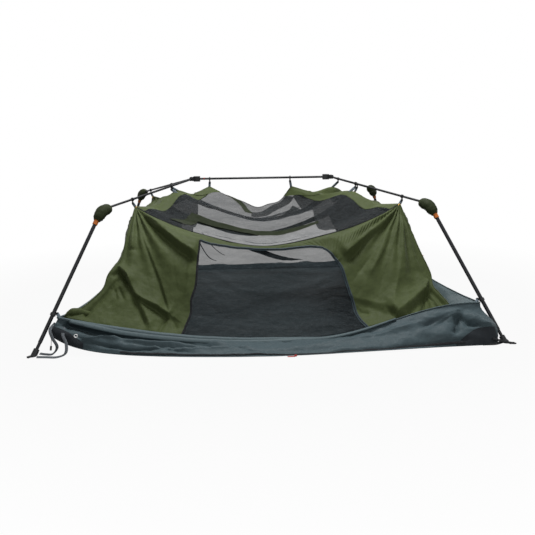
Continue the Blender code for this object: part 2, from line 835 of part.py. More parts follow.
def roof_mesh(finish, pivot):
    """The see-through roof: a front and a back half that meet on the sagging ridge seam."""
    front = spline([peak("corner_fl"), *FRONT_EAVE, peak("corner_fr")], ROOF_COLUMNS)
    ridge = spline([peak("ridge_left"), *RIDGE_SAG, peak("ridge_right")], ROOF_COLUMNS)
    back = spline([peak("corner_bl"), *BACK_EAVE, peak("corner_br")], ROOF_COLUMNS)
    left = hip_line(["corner_fl", "mid_fl", "ridge_left"], HIP_STEPS)
    right = hip_line(["corner_fr", "mid_fr", "ridge_right"], HIP_STEPS)
    slopes = [coons(front, ridge, left, right)]
    left = hip_line(["ridge_left", "mid_bl", "corner_bl"], HIP_STEPS)
    right = hip_line(["ridge_right", "mid_br", "corner_br"], HIP_STEPS)
    slopes.append(coons(ridge, back, left, right))
    for slope in slopes:
        for j, row in enumerate(slope):
            v = j / HIP_STEPS
            for i in range(len(row)):
                across = math.sin(math.pi * i / ROOF_COLUMNS)
                wave = math.sin(math.tau * ROOF_WAVES * v + 1.4 * across)
                held = across ** 0.5 * math.sin(math.pi * v) ** 0.5
                row[i] = row[i] + Vector((0, 0, ROOF_WAVE_DEPTH * wave * held))
    rows = slopes[0] + slopes[1][1:]
    inset(rows, SEAM_GAP, SEAM_GAP, SEAM_GAP, SEAM_GAP)
    cloth("roof_mesh", rows, finish, pivot)


def front_rows():
    """Rows of the whole front with its folds: eave to door top, then door top to sill."""
    count = FRONT_COLUMNS
    eave = spline([peak("corner_fl"), *FRONT_EAVE, peak("corner_fr")], count)
    sill = spline(SILL_FRONT, count)
    left_top = peak("corner_fl").lerp(Vector(SEAM["fl"][0]), HEAD_SHARE)
    right_top = peak("corner_fr").lerp(Vector(SEAM["fr"][0]), HEAD_SHARE)
    head = spline([left_top, HEAD_ENDS[0], *DOOR_TOP, HEAD_ENDS[1], right_top], count)
    rows = []
    for j in range(FRONT_BAND):
        rows.append([a.lerp(b, j / FRONT_BAND) for a, b in zip(eave, head)])
    left = spline([left_top, *SEAM["fl"], SILL_FRONT[0]], FRONT_DROP)
    right = spline([right_top, *SEAM["fr"], SILL_FRONT[-1]], FRONT_DROP)
    rows += coons(head, sill, left, right)
    outward = Vector((0.0, -0.77, 0.64))
    for line, depth, widths, kind in FRONT_FOLDS:
        rows = fold_along(rows, line, outward, depth, widths, kind)
    return rows


def front_wall(finish, pivot):
    rows = front_rows()
    inset(rows, SEAM_GAP, SEAM_GAP, SEAM_GAP, SEAM_GAP)
    cloth(
        "front_wall",
        rows,
        finish,
        pivot,
        keep=lambda i, j: j < FRONT_BAND or not DOOR_FIRST <= i < DOOR_LAST,
    )


def mesh_door(finish, pivot):
    rows = [row[DOOR_FIRST : DOOR_LAST + 1] for row in front_rows()[FRONT_BAND:]]
    inset(rows, SEAM_GAP, SEAM_GAP, SEAM_GAP, SEAM_GAP)
    cloth("mesh_door", rows, finish, pivot)


def side_wall(name, keys, eave, sill, outward, finish, pivot):
    """A side: the hip under the roof poles, down over the side eave to the tub."""
    front, back, ridge = keys
    top = hip_line(["corner_" + front, "mid_" + front, ridge], HIP_STEPS)
    top += hip_line([ridge, "mid_" + back, "corner_" + back], HIP_STEPS)[1:]
    starts = [
        peak("corner_" + key).lerp(Vector(SEAM[key][0]), EAVE_SHARE[key]) for key in (front, back)
    ]
    middle = spline([starts[0], *eave, starts[1]], 2 * HIP_STEPS)
    rows = []
    for j in range(SIDE_HIP):
        rows.append([a.lerp(b, j / SIDE_HIP) for a, b in zip(top, middle)])
    bottom = spline(sill, 2 * HIP_STEPS)
    left = spline([starts[0], *SEAM[front], sill[0]], SIDE_DROP)
    right = spline([starts[1], *SEAM[back], sill[-1]], SIDE_DROP)
    lower = coons(middle, bottom, left, right)
    rows += fold(lower, (outward, 0, 0.3), SIDE_FOLD_DEPTH, SIDE_FOLDS)
    inset(rows, SEAM_GAP, SEAM_GAP, SEAM_GAP, SEAM_GAP)
    cloth(name, rows, finish, pivot)


def back_wall(finish, pivot):
    top = spline([peak("corner_bl"), *BACK_EAVE, peak("corner_br")], BACK_COLUMNS)
    bottom = spline(SILL_BACK, BACK_COLUMNS)
    left = spline([peak("corner_bl"), *SEAM["bl"], SILL_BACK[0]], BACK_ROWS)
    right = spline([peak("corner_br"), *SEAM["br"], SILL_BACK[-1]], BACK_ROWS)
    rows = fold(coons(top, bottom, left, right), (0, 0.8, 0.3), 0.025, 4)
    inset(rows, SEAM_GAP, SEAM_GAP, SEAM_GAP, SEAM_GAP)
    cloth("back_wall", rows, finish, pivot)


def wall_sill(finish, pivot):
    """The slack foot of the walls, which lies inside the tub until the legs are drawn out."""
    steps = 10
    sides = [SILL_FRONT, SILL_RIGHT, SILL_BACK[::-1], SILL_LEFT[::-1]]
    loop = []
    for side in sides:
        loop += spline(side, steps)[:-1]
    bm = bmesh.new()
    rings = []
    for level in (0.0, 0.5, 1.0):
        ring = []
        for point in loop:
            low = Vector((point.x * 0.955, point.y * 0.955, 0.012))
            high = Vector((point.x * 0.985, point.y * 0.985, max(point.z - 0.012, 0.018)))
            ring.append(bm.verts.new(high.lerp(low, level)))
        rings.append(ring)
    count = len(loop)
    for high, low in zip(rings, rings[1:]):
        for i in range(count):
            j = (i + 1) % count
            bm.faces.new((high[i], high[j], low[j], low[i]))
    made = add_object("wall_sill", bm, finish, pivot)
    shell = made.modifiers.new("cloth", "SOLIDIFY")
    shell.thickness = CLOTH
    shell.offset = 0.0
    made.data.shade_smooth()


def strap(name, points, finish, pivot):
    """A length of webbing that hangs from the tub's corner and lies on the ground."""
    curve = bpy.data.curves.new(name, "CURVE")
    curve.dimensions = "3D"
    curve.bevel_depth = STRAP_R
    curve.bevel_resolution = 2
    curve.use_fill_caps = True
    line = curve.splines.new("POLY")
    route = spline(points, 24)
    line.points.add(len(route) - 1)
    for target, point in zip(line.points, route):
        target.co = (*(point - pivot.location), 1)
    made = bpy.data.objects.new(name, curve)
    bpy.context.scene.collection.objects.link(made)
    curve.materials.append(finish)
    made.parent = pivot


def zip_pull(finish, pivot):
    """The front lip's zip slider with its pull tab."""
    base = block(Matrix.Translation(ZIP_PULL_AT), (0.016, 0.012, 0.010), 0.002)
    tab_at = ZIP_PULL_AT + Vector((-0.028, -0.004, -0.004))
    tab = block(Matrix.Translation(tab_at), (0.048, 0.010, 0.004), 0.001)
    combined("zip_pull", base, [(tab, "UNION")], finish, pivot)


def build():
    clear_scene()
    tube = material("black_tube", (0.018, 0.018, 0.020), 0.38, 0.3)
    plastic = material("black_plastic", (0.012, 0.012, 0.013), 0.45)
    orange = material("orange_plastic", (0.75, 0.22, 0.03), 0.45)
    olive = material("olive_cloth", (0.082, 0.110, 0.040), 0.70)
    pod = material("olive_pad", (0.040, 0.055, 0.022), 0.80)
    slate = material("slate_cloth", (0.062, 0.088, 0.100), 0.62)
    mesh = material("black_mesh", (0.020, 0.021, 0.024), 0.85)
    grey = material("grey_webbing", (0.120, 0.130, 0.140), 0.80)
    red = material("red_plastic", (0.500, 0.020, 0.015), 0.45)

    corners = {key: Corner(key) for key in CORNERS}
    base = empty("base", (0, 0, 0))
    canopy = empty("canopy", (0, 0, 0))
    top = empty("top_frame", (0, 0, RIDGE_Z))

    floor_tub(slate, base)
    wall_sill(slate, base)
    strap("corner_strap_outer", STRAP_A, grey, base)
    strap("corner_strap_inner", STRAP_B, grey, base)
    zip_pull(red, empty("zip", ZIP_PULL_AT))

    roof_mesh(mesh, canopy)
    front_wall(olive, canopy)
    mesh_door(mesh, canopy)
    left_keys = ("fl", "bl", "ridge_left")
    right_keys = ("fr", "br", "ridge_right")
    side_wall("left_wall", left_keys, LEFT_EAVE, SILL_LEFT, -1.0, olive, canopy)
    side_wall("right_wall", right_keys, RIGHT_EAVE, SILL_RIGHT, 1.0, olive, canopy)
    back_wall(mesh, canopy)

    ridge_pole(tube, top)
    hub("hub_left", -1, (corners["fl"], corners["bl"]), plastic, top)
    hub("hub_right", 1, (corners["fr"], corners["br"]), plastic, top)
    for side, x in RIDGE_HOOKS.items():
        at = Vector((x, 0, RIDGE_Z))
        pole_hook("hook_ridge_" + side, at, (1, 0, 0), RIDGE_R, plastic, top)

    for key, corner in corners.items():
        pole_pivot = empty("pole_" + key, corner.pin)
        link_pivot = empty("elbow_" + key, corner.fold_pin)
        leg_pivot = empty("leg_" + key, corner.splay_pin)
        lower_pivot = empty("leg_lower_" + key, corner.foot)
        button_pivot = empty("button_" + key, corner.down(BUTTON_AT))
        roof_pole(corner, tube, pole_pivot)
        for kind, share in (("corner", CORNER_HOOKS[key]), ("mid", MID_HOOKS[key])):
            name = f"hook_{kind}_{key}"
            at = corner.along(share)
            pole_hook(name, at, corner.pole_dir, ROOF_POLE_R, plastic, pole_pivot)
        elbow_link(corner, plastic, link_pivot)
        elbow_cover(corner, pod, link_pivot)
        leg_collar(corner, orange, leg_pivot)
        leg_button(corner, plastic, button_pivot)
        leg_tubes(corner, tube, leg_pivot, lower_pivot)
        leg_foot(corner, plastic, lower_pivot)
        leg_clip(corner, plastic, lower_pivot)


build()
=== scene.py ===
"""The looks of the instant cabin tent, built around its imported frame.

Metres, +Z up, the door faces -Y. Each cloth panel is a fine grid between the same seams as the plain
solid it stands for, pushed into folds, and every piece rides on the body that carries it.
"""

import math

import bmesh
import bpy
import numpy as np
from mathutils import Matrix, Vector, noise

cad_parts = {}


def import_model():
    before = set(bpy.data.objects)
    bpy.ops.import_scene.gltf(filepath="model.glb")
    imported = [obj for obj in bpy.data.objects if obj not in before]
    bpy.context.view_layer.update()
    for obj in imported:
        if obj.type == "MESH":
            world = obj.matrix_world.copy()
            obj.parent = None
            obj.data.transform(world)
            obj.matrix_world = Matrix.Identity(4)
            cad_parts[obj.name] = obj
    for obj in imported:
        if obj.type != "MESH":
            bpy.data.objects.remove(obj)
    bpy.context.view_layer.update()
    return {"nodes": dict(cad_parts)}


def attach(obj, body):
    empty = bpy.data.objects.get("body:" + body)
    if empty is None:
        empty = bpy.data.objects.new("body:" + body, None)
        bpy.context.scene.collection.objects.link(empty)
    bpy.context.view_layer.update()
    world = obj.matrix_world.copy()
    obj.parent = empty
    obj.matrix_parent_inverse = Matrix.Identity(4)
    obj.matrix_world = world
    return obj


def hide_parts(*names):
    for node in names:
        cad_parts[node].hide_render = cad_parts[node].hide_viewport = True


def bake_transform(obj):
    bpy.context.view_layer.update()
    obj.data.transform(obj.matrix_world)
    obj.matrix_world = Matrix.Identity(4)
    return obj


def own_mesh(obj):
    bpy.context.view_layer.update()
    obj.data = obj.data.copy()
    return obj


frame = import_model()

# The photograph's camera
CAMERA_AT = (-0.2159, -5.4254, 1.2788)
CAMERA_TURN = (79.4267, 0.8248, -2.8519)
CAMERA_LENS = 41.8153
CAMERA_SENSOR = 36

# Light on the object
WORLD_LIGHT = 0.11
LAMPS = {
    "key": {"at": (0.2, -0.5, 4.6), "aim": (0, -0.3, 0.4), "size": 1.8, "power": 215},
    "fill": {"at": (1.6, -5.6, 2.0), "aim": (0.2, -0.6, 0.4), "size": 2.5, "power": 52},
}

# The floor: its colour, how much of it is glow near the object, and from where to where it turns to all glow
FLOOR_COLOUR = (0.25, 0.25, 0.25)
FLOOR_GLOW = 0.94
FLOOR_FADE = (2.2, 4.2)
FLOOR_HALF = 40.0
FLOOR_HEIGHT = -0.0015

# Frame points, as in the part's source
HUB_PIN = Vector((0.600, 0.040, 1.056))
ELBOW = Vector((1.177, 0.967, 0.889))
FOOT = Vector((1.553, 1.514, 0.0))
RIDGE_R = 0.009
ROOF_POLE_R = 0.0085
PIN_INSET = 0.027
CORNERS = {"fl": (-1, -1), "fr": (1, -1), "bl": (-1, 1), "br": (1, 1)}

# Where the hooks sit: as shares along the roof poles, and as x on the ridge pole
CORNER_HOOKS = {"fl": 0.698, "fr": 0.756, "bl": 0.804, "br": 0.614}
MID_HOOKS = {"fl": 0.262, "fr": 0.282, "bl": 0.376, "br": 0.172}
RIDGE_HOOKS = {"left": -0.448, "right": 0.246}
HOOK_DROP = 0.018

# The leg clips' distance below the elbows, and how high their straps reach the tub
CLIP_AT = {"fl": 0.812, "fr": 0.785, "bl": 0.785, "br": 0.812}
CLIP_STRAP_END = {"fl": 0.212, "fr": 0.240, "bl": 0.212, "br": 0.212}

# Canopy seams: the peaks below the hooks, the eaves, the door's head and the sill
PEAK = {
    "corner_fl": (-0.985, -0.69, 0.885),
    "corner_fr": (1.02, -0.745, 0.875),
    "corner_bl": (-1.05, 0.79, 0.865),
    "corner_br": (0.935, 0.62, 0.885),
    "mid_fl": (-0.718, -0.305, 0.962),
    "mid_fr": (0.72, -0.32, 0.95),
    "mid_bl": (-0.77, 0.408, 0.936),
    "mid_br": (0.655, 0.224, 0.955),
    "ridge_left": (-0.452, 0.0, 0.985),
    "ridge_right": (0.255, 0.0, 0.975),
}
RIDGE_SAG = [
    (-0.31, 0.0, 0.912), (-0.17, 0.0, 0.856), (-0.045, 0.0, 0.803), (0.055, 0.0, 0.828),
    (0.157, 0.0, 0.858),
]
FRONT_EAVE = [
    (-0.8, -0.8, 0.8), (-0.5, -0.92, 0.7), (-0.04, -0.99, 0.608), (0.45, -0.93, 0.68),
    (0.8, -0.84, 0.78),
]
BACK_EAVE = [(-0.66, 0.92, 0.62), (-0.05, 1.02, 0.445), (0.55, 0.84, 0.61)]
LEFT_EAVE = [(-1.085, -0.3, 0.75), (-1.115, 0.25, 0.735)]
RIGHT_EAVE = [(1.105, -0.3, 0.745), (1.085, 0.2, 0.75)]
DOOR_TOP = [(-0.487, -1.0, 0.65), (-0.04, -1.03, 0.586), (0.34, -1.02, 0.598), (0.5, -1.03, 0.54)]
HEAD_ENDS = [(-0.78, -0.9, 0.745), (0.76, -0.93, 0.69)]
SILL_FRONT = [
    (-1.368, -1.372, 0.214), (-0.96, -1.39, 0.124), (-0.61, -1.392, 0.07), (-0.19, -1.392, 0.04),
    (0.24, -1.392, 0.038), (0.65, -1.392, 0.092), (0.98, -1.39, 0.18), (1.24, -1.372, 0.205),
]
SILL_LEFT = [
    (-1.375, -1.345, 0.214), (-1.292, -1.19, 0.2), (-1.33, -0.6, 0.145), (-1.34, 0.0, 0.128),
    (-1.33, 0.6, 0.145), (-1.292, 1.19, 0.2), (-1.375, 1.345, 0.214),
]
SILL_RIGHT = [
    (1.25, -1.345, 0.19), (1.335, -0.7, 0.12), (1.345, 0.0, 0.12), (1.33, 0.6, 0.14), (1.292, 1.19, 0.2),
    (1.375, 1.345, 0.214),
]
SILL_BACK = [
    (-1.368, 1.372, 0.214), (-1.15, 1.39, 0.118), (-0.7, 1.39, 0.052), (0.0, 1.39, 0.05),
    (0.7, 1.39, 0.052), (1.15, 1.39, 0.118), (1.368, 1.372, 0.214),
]
HIP_DIP = 0.045

# Seams between the front or back and the sides, from below each peak down to the sill
SEAM = {
    "fl": [
        (-1.022, -0.9, 0.69), (-1.055, -1.02, 0.535), (-1.128, -1.1, 0.452), (-1.16, -1.18, 0.36),
        (-1.265, -1.28, 0.268),
    ],
    "fr": [
        (1.078, -0.87, 0.68), (1.124, -0.97, 0.535), (1.172, -1.06, 0.4), (1.168, -1.15, 0.32),
        (1.205, -1.26, 0.262),
    ],
    "bl": [(-1.15, 1.06, 0.5)],
    "br": [(1.1, 0.98, 0.52)],
}

# How far down its seam the front's head line starts, and a side's eave
HEAD_SHARE = 0.30
EAVE_SHARE = {"fl": 0.40, "fr": 0.40, "bl": 0.22, "br": 0.22}

RIDGE_SEAM = [PEAK["ridge_left"], *RIDGE_SAG, PEAK["ridge_right"]]
FRONT_TOP = [PEAK["corner_fl"], *FRONT_EAVE, PEAK["corner_fr"]]
BACK_TOP = [PEAK["corner_bl"], *BACK_EAVE, PEAK["corner_br"]]
SILL_END = {"fl": SILL_FRONT[0], "fr": SILL_FRONT[-1], "bl": SILL_BACK[0], "br": SILL_BACK[-1]}

# Groundsheet tub, side by side: its turn, its top edge at the middle and at both ends, how it climbs
# there, how far the lip lies out at the middle, and its steps
TUB_HALF = 1.440
TUB = {
    "front": {"turn": 0.0, "mid": 0.026, "ends": (0.222, 0.250), "rise": 2.0, "lip": 0.230, "steps": 320},
    "right": {
        "turn": math.pi / 2, "mid": 0.200, "ends": (0.250, 0.222), "rise": 2.4, "lip": 0.050, "steps": 110
    },
    "back": {"turn": math.pi, "mid": 0.036, "ends": (0.222, 0.222), "rise": 5.0, "lip": 0.120, "steps": 110},
    "left": {
        "turn": -math.pi / 2, "mid": 0.115, "ends": (0.222, 0.222), "rise": 2.4, "lip": 0.050, "steps": 110
    },
}
SKIRT_ROWS = 40
GROUND = 0.003

# How far the lip's front corners lie off the tub's square, and how near to the corner that begins
LIP_SHIFT = {"fl": ((0.0, 0.0, 0.095), 8), "fr": ((0.045, -0.125, -0.008), 4)}

# The rolled top edge: its radius at each share of the front's length, from the front left corner on
# round the tub; and the width of the band below it. Both are a lighter slate, as painted light
RIM_ROLL = (
    [0, 0.05, 0.15, 0.5, 0.72, 1.0, 1.9, 2.05],
    [0.008, 0.014, 0.021, 0.018, 0.0035, 0.0035, 0.008, 0.008],
)
RIM_BAND = ([0.03, 0.15, 0.45, 0.65, 0.8], [0.03, 0.052, 0.046, 0.024, 0.01])

# From where to where the zip's tape runs along the front lip
LIP_ZIP = (0.16, 0.93)

# Guy straps of the front left corner: their routes
STRAP_WIDTH = 0.020
STRAP_A = [
    (-1.428, -1.412, 0.19), (-1.45, -1.462, 0.16), (-1.428, -1.5, 0.115), (-1.398, -1.515, 0.06),
    (-1.43, -1.512, 0.012), (-1.48, -1.5, 0.007), (-1.522, -1.48, 0.007),
]
STRAP_B = [
    (-1.368, -1.434, 0.165), (-1.362, -1.492, 0.13), (-1.33, -1.545, 0.085), (-1.33, -1.58, 0.035),
    (-1.385, -1.575, 0.01), (-1.46, -1.56, 0.007), (-1.52, -1.552, 0.007),
]

# Small things: the ridge pole's red mark, a seam tag, and at the front corners a cord and its toggle, a
# buckle's ring, two peg loops, and the rolled slack at the wall's left foot, with its radii
RIDGE_MARK = [(-0.500, 0, HUB_PIN.z), (-0.490, 0, HUB_PIN.z)]
SEAM_TAG = [(1.128, -0.975, 0.512), (1.142, -0.978, 0.506)]
BUCKLE_AT = (-1.275, -1.512, 0.128)
CORNER_CORD = [(-1.432, -1.418, 0.196), (-1.446, -1.450, 0.120), (-1.452, -1.462, 0.050)]
TOGGLE = [(-1.452, -1.462, 0.050), (-1.455, -1.468, 0.022)]
PEG_LOOPS = [
    [(1.38, -1.57, 0.01), (1.45, -1.6, 0.022), (1.52, -1.575, 0.03), (1.56, -1.535, 0.024)],
    [
        (1.44, -1.575, 0.05), (1.5, -1.594, 0.036), (1.556, -1.59, 0.022), (1.592, -1.572, 0.014),
        (1.598, -1.556, 0.012),
    ],
]
CORNER_BUNDLE = [
    (-1.384, -1.35, 0.206), (-1.352, -1.338, 0.231), (-1.316, -1.326, 0.24), (-1.282, -1.312, 0.231),
    (-1.24, -1.288, 0.214), (-1.19, -1.25, 0.2),
]
BUNDLE_RADII = [0.008, 0.024, 0.03, 0.027, 0.02, 0.006]

# How finely the panels are divided, the door's place on the front's grid and the roof's green borders
FRONT_COLUMNS = 280
FRONT_BAND = 14
FRONT_DROP = 110
DOOR_FIRST = 80
DOOR_LAST = 200
ROOF_COLUMNS = 120
ROOF_HALF = 36
BORDER_ENDS = 8
BORDER_BACK = 3
SIDE_COLUMNS = 108
SIDE_HIP = 18
SIDE_DROP = 66
BACK_COLUMNS = 120
BACK_ROWS = 48
STRIP_STEPS = (60, 6)

# The cloth's thickness
CLOTH = 0.0009
TUB_CLOTH = 0.0010

# The distance between threads
CLOTH_THREAD = 0.0014
NET_THREAD = 0.0019

# How far the door's two edges lean to the left between head and sill
DOOR_LEAN = {DOOR_FIRST: -0.048, DOOR_LAST: -0.030}

# The door's round corner, in grid steps: its radius and its centre's row and column
ROUND = 18.0
ROUND_ROW = FRONT_BAND + ROUND
ROUND_COLUMN = DOOR_LAST - ROUND

# The back window's rows and columns on the back's grid
WINDOW_TOP = 3
WINDOW_LEFT = 24
WINDOW_RIGHT = 99

# Strips on the roof: the slope, then the upper and the lower edge as (share across, share up or back).
# The net strips are doubled net, made near opaque and dark partly as painted shade of the shaded inside
DOUBLE_NET_AND_SHADE = [
    (
        "front", [(0.24, 0.68), (0.45, 0.64), (0.62, 0.72), (0.8, 0.84)],
        [(0.24, 0.46), (0.45, 0.54), (0.62, 0.62), (0.8, 0.7)],
    ),
    (
        "front", [(0.44, 0.84), (0.58, 0.93), (0.72, 0.97), (0.9, 0.99)],
        [(0.44, 0.72), (0.58, 0.8), (0.7, 0.86), (0.9, 0.91)],
    ),
    ("front", [(0.068, 0.0), (0.068, 0.35), (0.068, 0.7)], [(0.315, 0.0), (0.23, 0.36), (0.075, 0.7)]),
    (
        "front", [(0.7, 0.0), (0.69, 0.36), (0.8, 0.73), (0.9, 0.92)],
        [(0.9, 0.0), (0.93, 0.4), (0.932, 0.72), (0.932, 0.92)],
    ),
    (
        "back", [(0.07, 0.5), (0.4, 0.46), (0.7, 0.52), (0.93, 0.5)],
        [(0.07, 0.58), (0.4, 0.52), (0.7, 0.57), (0.93, 0.6)],
    ),
]
OLIVE_STRIPS = [
    ("front", [(0.0, 1.0), (0.06, 1.0), (0.11, 1.0)], [(0.0, 0.74), (0.06, 0.84), (0.11, 0.985)]),
    ("front", [(0.89, 1.0), (0.94, 1.0), (1.0, 1.0)], [(0.89, 0.985), (0.94, 0.84), (1.0, 0.74)]),
    ("back", [(0.0, 0.0), (0.06, 0.0), (0.11, 0.0)], [(0.0, 0.24), (0.06, 0.14), (0.11, 0.01)]),
    ("back", [(0.89, 0.0), (0.94, 0.0), (1.0, 0.0)], [(0.89, 0.01), (0.94, 0.14), (1.0, 0.24)]),
]
# The darker olive strips are painted shade: a darker copy of the olive laid where the roof's olive lies in
# shade
SHADE_STRIPS = [
    (
        "front", [(0.15, 0.995), (0.27, 0.99), (0.37, 0.95), (0.45, 0.8)],
        [(0.08, 0.995), (0.2, 0.985), (0.33, 0.91), (0.4, 0.775)],
    ),
    (
        "front", [(0.2, 0.345), (0.35, 0.328), (0.5, 0.332), (0.6, 0.325), (0.7, 0.345)],
        [(0.2, 0.275), (0.35, 0.282), (0.5, 0.29), (0.6, 0.284), (0.7, 0.325)],
    ),
    ("front", [(0.2, 0.06), (0.205, 0.2), (0.21, 0.33)], [(0.27, 0.06), (0.262, 0.2), (0.255, 0.33)]),
]

# Straps behind the back window, as strips on the back wall
BACK_STRIPS = [
    ([(0.45, 0.34), (0.57, 0.86)], [(0.495, 0.34), (0.625, 0.86)]),
    ([(0.27, 0.24), (0.385, 0.84)], [(0.275, 0.24), (0.39, 0.84)]),
    ([(0.3, 0.2), (0.4, 0.6)], [(0.304, 0.2), (0.404, 0.6)]),
]

# Patches of painted shade on the skirt's front corners, as (share from left to right, share from the top
# down)
TUB_SHADE_PATCHES = {
    "fr": (
        [(0.905, 0.95), (0.955, 0.66), (0.998, 0.62)], [(0.905, 0.99), (0.955, 0.995), (0.998, 0.995)],
    ),
    "fl": ([(0.0, 0.45), (0.03, 0.5), (0.075, 0.8)], [(0.0, 0.99), (0.03, 0.99), (0.075, 0.98)]),
}

# Folds: a line on the cloth, the depth, the width at the line's two ends, the section, and how soon the
# fold fades in and out. A roll's crest is the line and it drops to the right. Lines of (x, z) on the door
DOOR_FOLDS = [
    ([(-0.5, 0.42), (-0.42, 0.36), (-0.33, 0.3)], 0.014, (0.014, 0.016), "sharp", (0.2, 0.3)),
    ([(-0.5, 0.34), (-0.42, 0.24), (-0.32, 0.16)], 0.018, (0.016, 0.018), "cut", (0.2, 0.3)),
    ([(-0.47, 0.3), (-0.38, 0.2)], 0.014, (0.012, 0.014), "sharp", (0.2, 0.3)),
    (
        [(-0.48, 0.5), (-0.2, 0.33), (0.06, 0.3), (0.3, 0.35), (0.52, 0.44)], 0.012, (0.02, 0.02),
        "ridge", (0.2, 0.2),
    ),
    ([(0.3, 0.3), (0.42, 0.33), (0.54, 0.34)], 0.014, (0.014, 0.014), "sharp", (0.3, 0.2)),
    ([(0.34, 0.23), (0.44, 0.27), (0.55, 0.27)], 0.014, (0.014, 0.014), "cut", (0.3, 0.2)),
]

# The front wall's folds, as lines of (x, z)
FRONT_FOLDS = [
    (
        [(-0.955, 0.846), (-0.851, 0.79), (-0.736, 0.716), (-0.622, 0.632), (-0.5, 0.56)], 0.046,
        (0.026, 0.08), "roll", (0.25, 0.1),
    ),
    (
        [(-0.7, 0.188), (-0.785, 0.416), (-0.862, 0.585), (-0.924, 0.719), (-0.961, 0.823)], 0.034,
        (0.062, 0.022), "cut", (0.12, 0.3),
    ),
    (
        [(-0.684, 0.188), (-0.765, 0.416), (-0.845, 0.585), (-0.912, 0.719)], 0.014, (0.03, 0.016),
        "sharp", (0.15, 0.3),
    ),
    (
        [(-0.808, 0.112), (-0.872, 0.229), (-0.931, 0.327), (-0.987, 0.42), (-1.05, 0.5)], 0.03,
        (0.05, 0.04), "sharp", (0.1, 0.2),
    ),
    (
        [(-0.84, 0.12), (-0.905, 0.235), (-0.96, 0.33), (-1.012, 0.42), (-1.062, 0.49)], 0.036,
        (0.04, 0.026), "cut", (0.1, 0.2),
    ),
    (
        [(-0.954, 0.335), (-0.881, 0.29), (-0.774, 0.245), (-0.676, 0.181)], 0.034, (0.03, 0.055),
        "roll", (0.2, 0.12),
    ),
    (
        [(-1.122, 0.446), (-1.065, 0.492), (-0.997, 0.436), (-0.965, 0.373)], 0.034, (0.034, 0.034),
        "roll", (0.1, 0.2),
    ),
    (
        [(-1.042, 0.437), (-1.096, 0.369), (-1.174, 0.287), (-1.267, 0.208)], 0.034, (0.02, 0.026),
        "cut", (0.1, 0.1),
    ),
    ([(-1.065, 0.44), (-1.13, 0.36), (-1.215, 0.28)], 0.016, (0.016, 0.02), "sharp", (0.1, 0.1)),
    ([(-1.053, 0.375), (-1.021, 0.314), (-1.001, 0.28)], 0.024, (0.022, 0.016), "cut", (0.2, 0.3)),
    ([(-1.079, 0.368), (-1.059, 0.3), (-1.11, 0.249)], 0.02, (0.018, 0.016), "cut", (0.2, 0.3)),
    ([(-1.01, 0.598), (-0.931, 0.607)], 0.014, (0.014, 0.012), "cut", (0.3, 0.4)),
    ([(-0.684, 0.181), (-0.639, 0.105)], 0.016, (0.018, 0.02), "cut", (0.2, 0.2)),
    ([(-0.726, 0.17), (-0.765, 0.085)], 0.016, (0.02, 0.02), "cut", (0.2, 0.2)),
    ([(-0.56, 0.52), (-0.572, 0.38), (-0.6, 0.24)], 0.012, (0.026, 0.036), "sharp", (0.3, 0.3)),
    (
        [(0.53, 0.52), (0.608, 0.58), (0.724, 0.665), (0.862, 0.752), (0.99, 0.838)], 0.05,
        (0.095, 0.026), "roll", (0.1, 0.25),
    ),
    (
        [(0.974, 0.788), (0.838, 0.618), (0.638, 0.418), (0.571, 0.333)], 0.016, (0.018, 0.034), "cut",
        (0.2, 0.3),
    ),
    (
        [(0.981, 0.77), (0.863, 0.601), (0.732, 0.432), (0.661, 0.331)], 0.016, (0.02, 0.04), "sharp",
        (0.2, 0.3),
    ),
    ([(0.986, 0.76), (0.9, 0.56), (0.81, 0.38), (0.76, 0.24)], 0.018, (0.02, 0.04), "cut", (0.2, 0.3)),
    (
        [(0.845, 0.146), (0.901, 0.334), (0.956, 0.532), (0.997, 0.753), (1.01, 0.83)], 0.06,
        (0.1, 0.06), "gable", (0.06, 0.2),
    ),
    (
        [(1.016, 0.752), (1.055, 0.614), (1.083, 0.481), (1.099, 0.424)], 0.012, (0.012, 0.014), "cut",
        (0.2, 0.2),
    ),
    (
        [(0.843, 0.146), (0.934, 0.203), (1.037, 0.269), (1.108, 0.302), (1.15, 0.36)], 0.034,
        (0.045, 0.04), "roll", (0.1, 0.1),
    ),
    ([(1.107, 0.298), (1.056, 0.231), (1.01, 0.164)], 0.062, (0.02, 0.03), "cut", (0.1, 0.2)),
    ([(1.114, 0.29), (1.092, 0.23), (1.053, 0.178)], 0.048, (0.014, 0.024), "cut", (0.1, 0.2)),
    ([(1.121, 0.298), (1.149, 0.244), (1.174, 0.198)], 0.06, (0.018, 0.028), "cut", (0.1, 0.2)),
    ([(1.138, 0.313), (1.187, 0.25), (1.23, 0.215)], 0.052, (0.016, 0.026), "cut", (0.1, 0.2)),
    ([(0.596, 0.203), (0.627, 0.173), (0.687, 0.164)], 0.014, (0.016, 0.018), "cut", (0.2, 0.2)),
    ([(0.791, 0.199), (0.835, 0.154)], 0.016, (0.018, 0.018), "cut", (0.2, 0.2)),
]

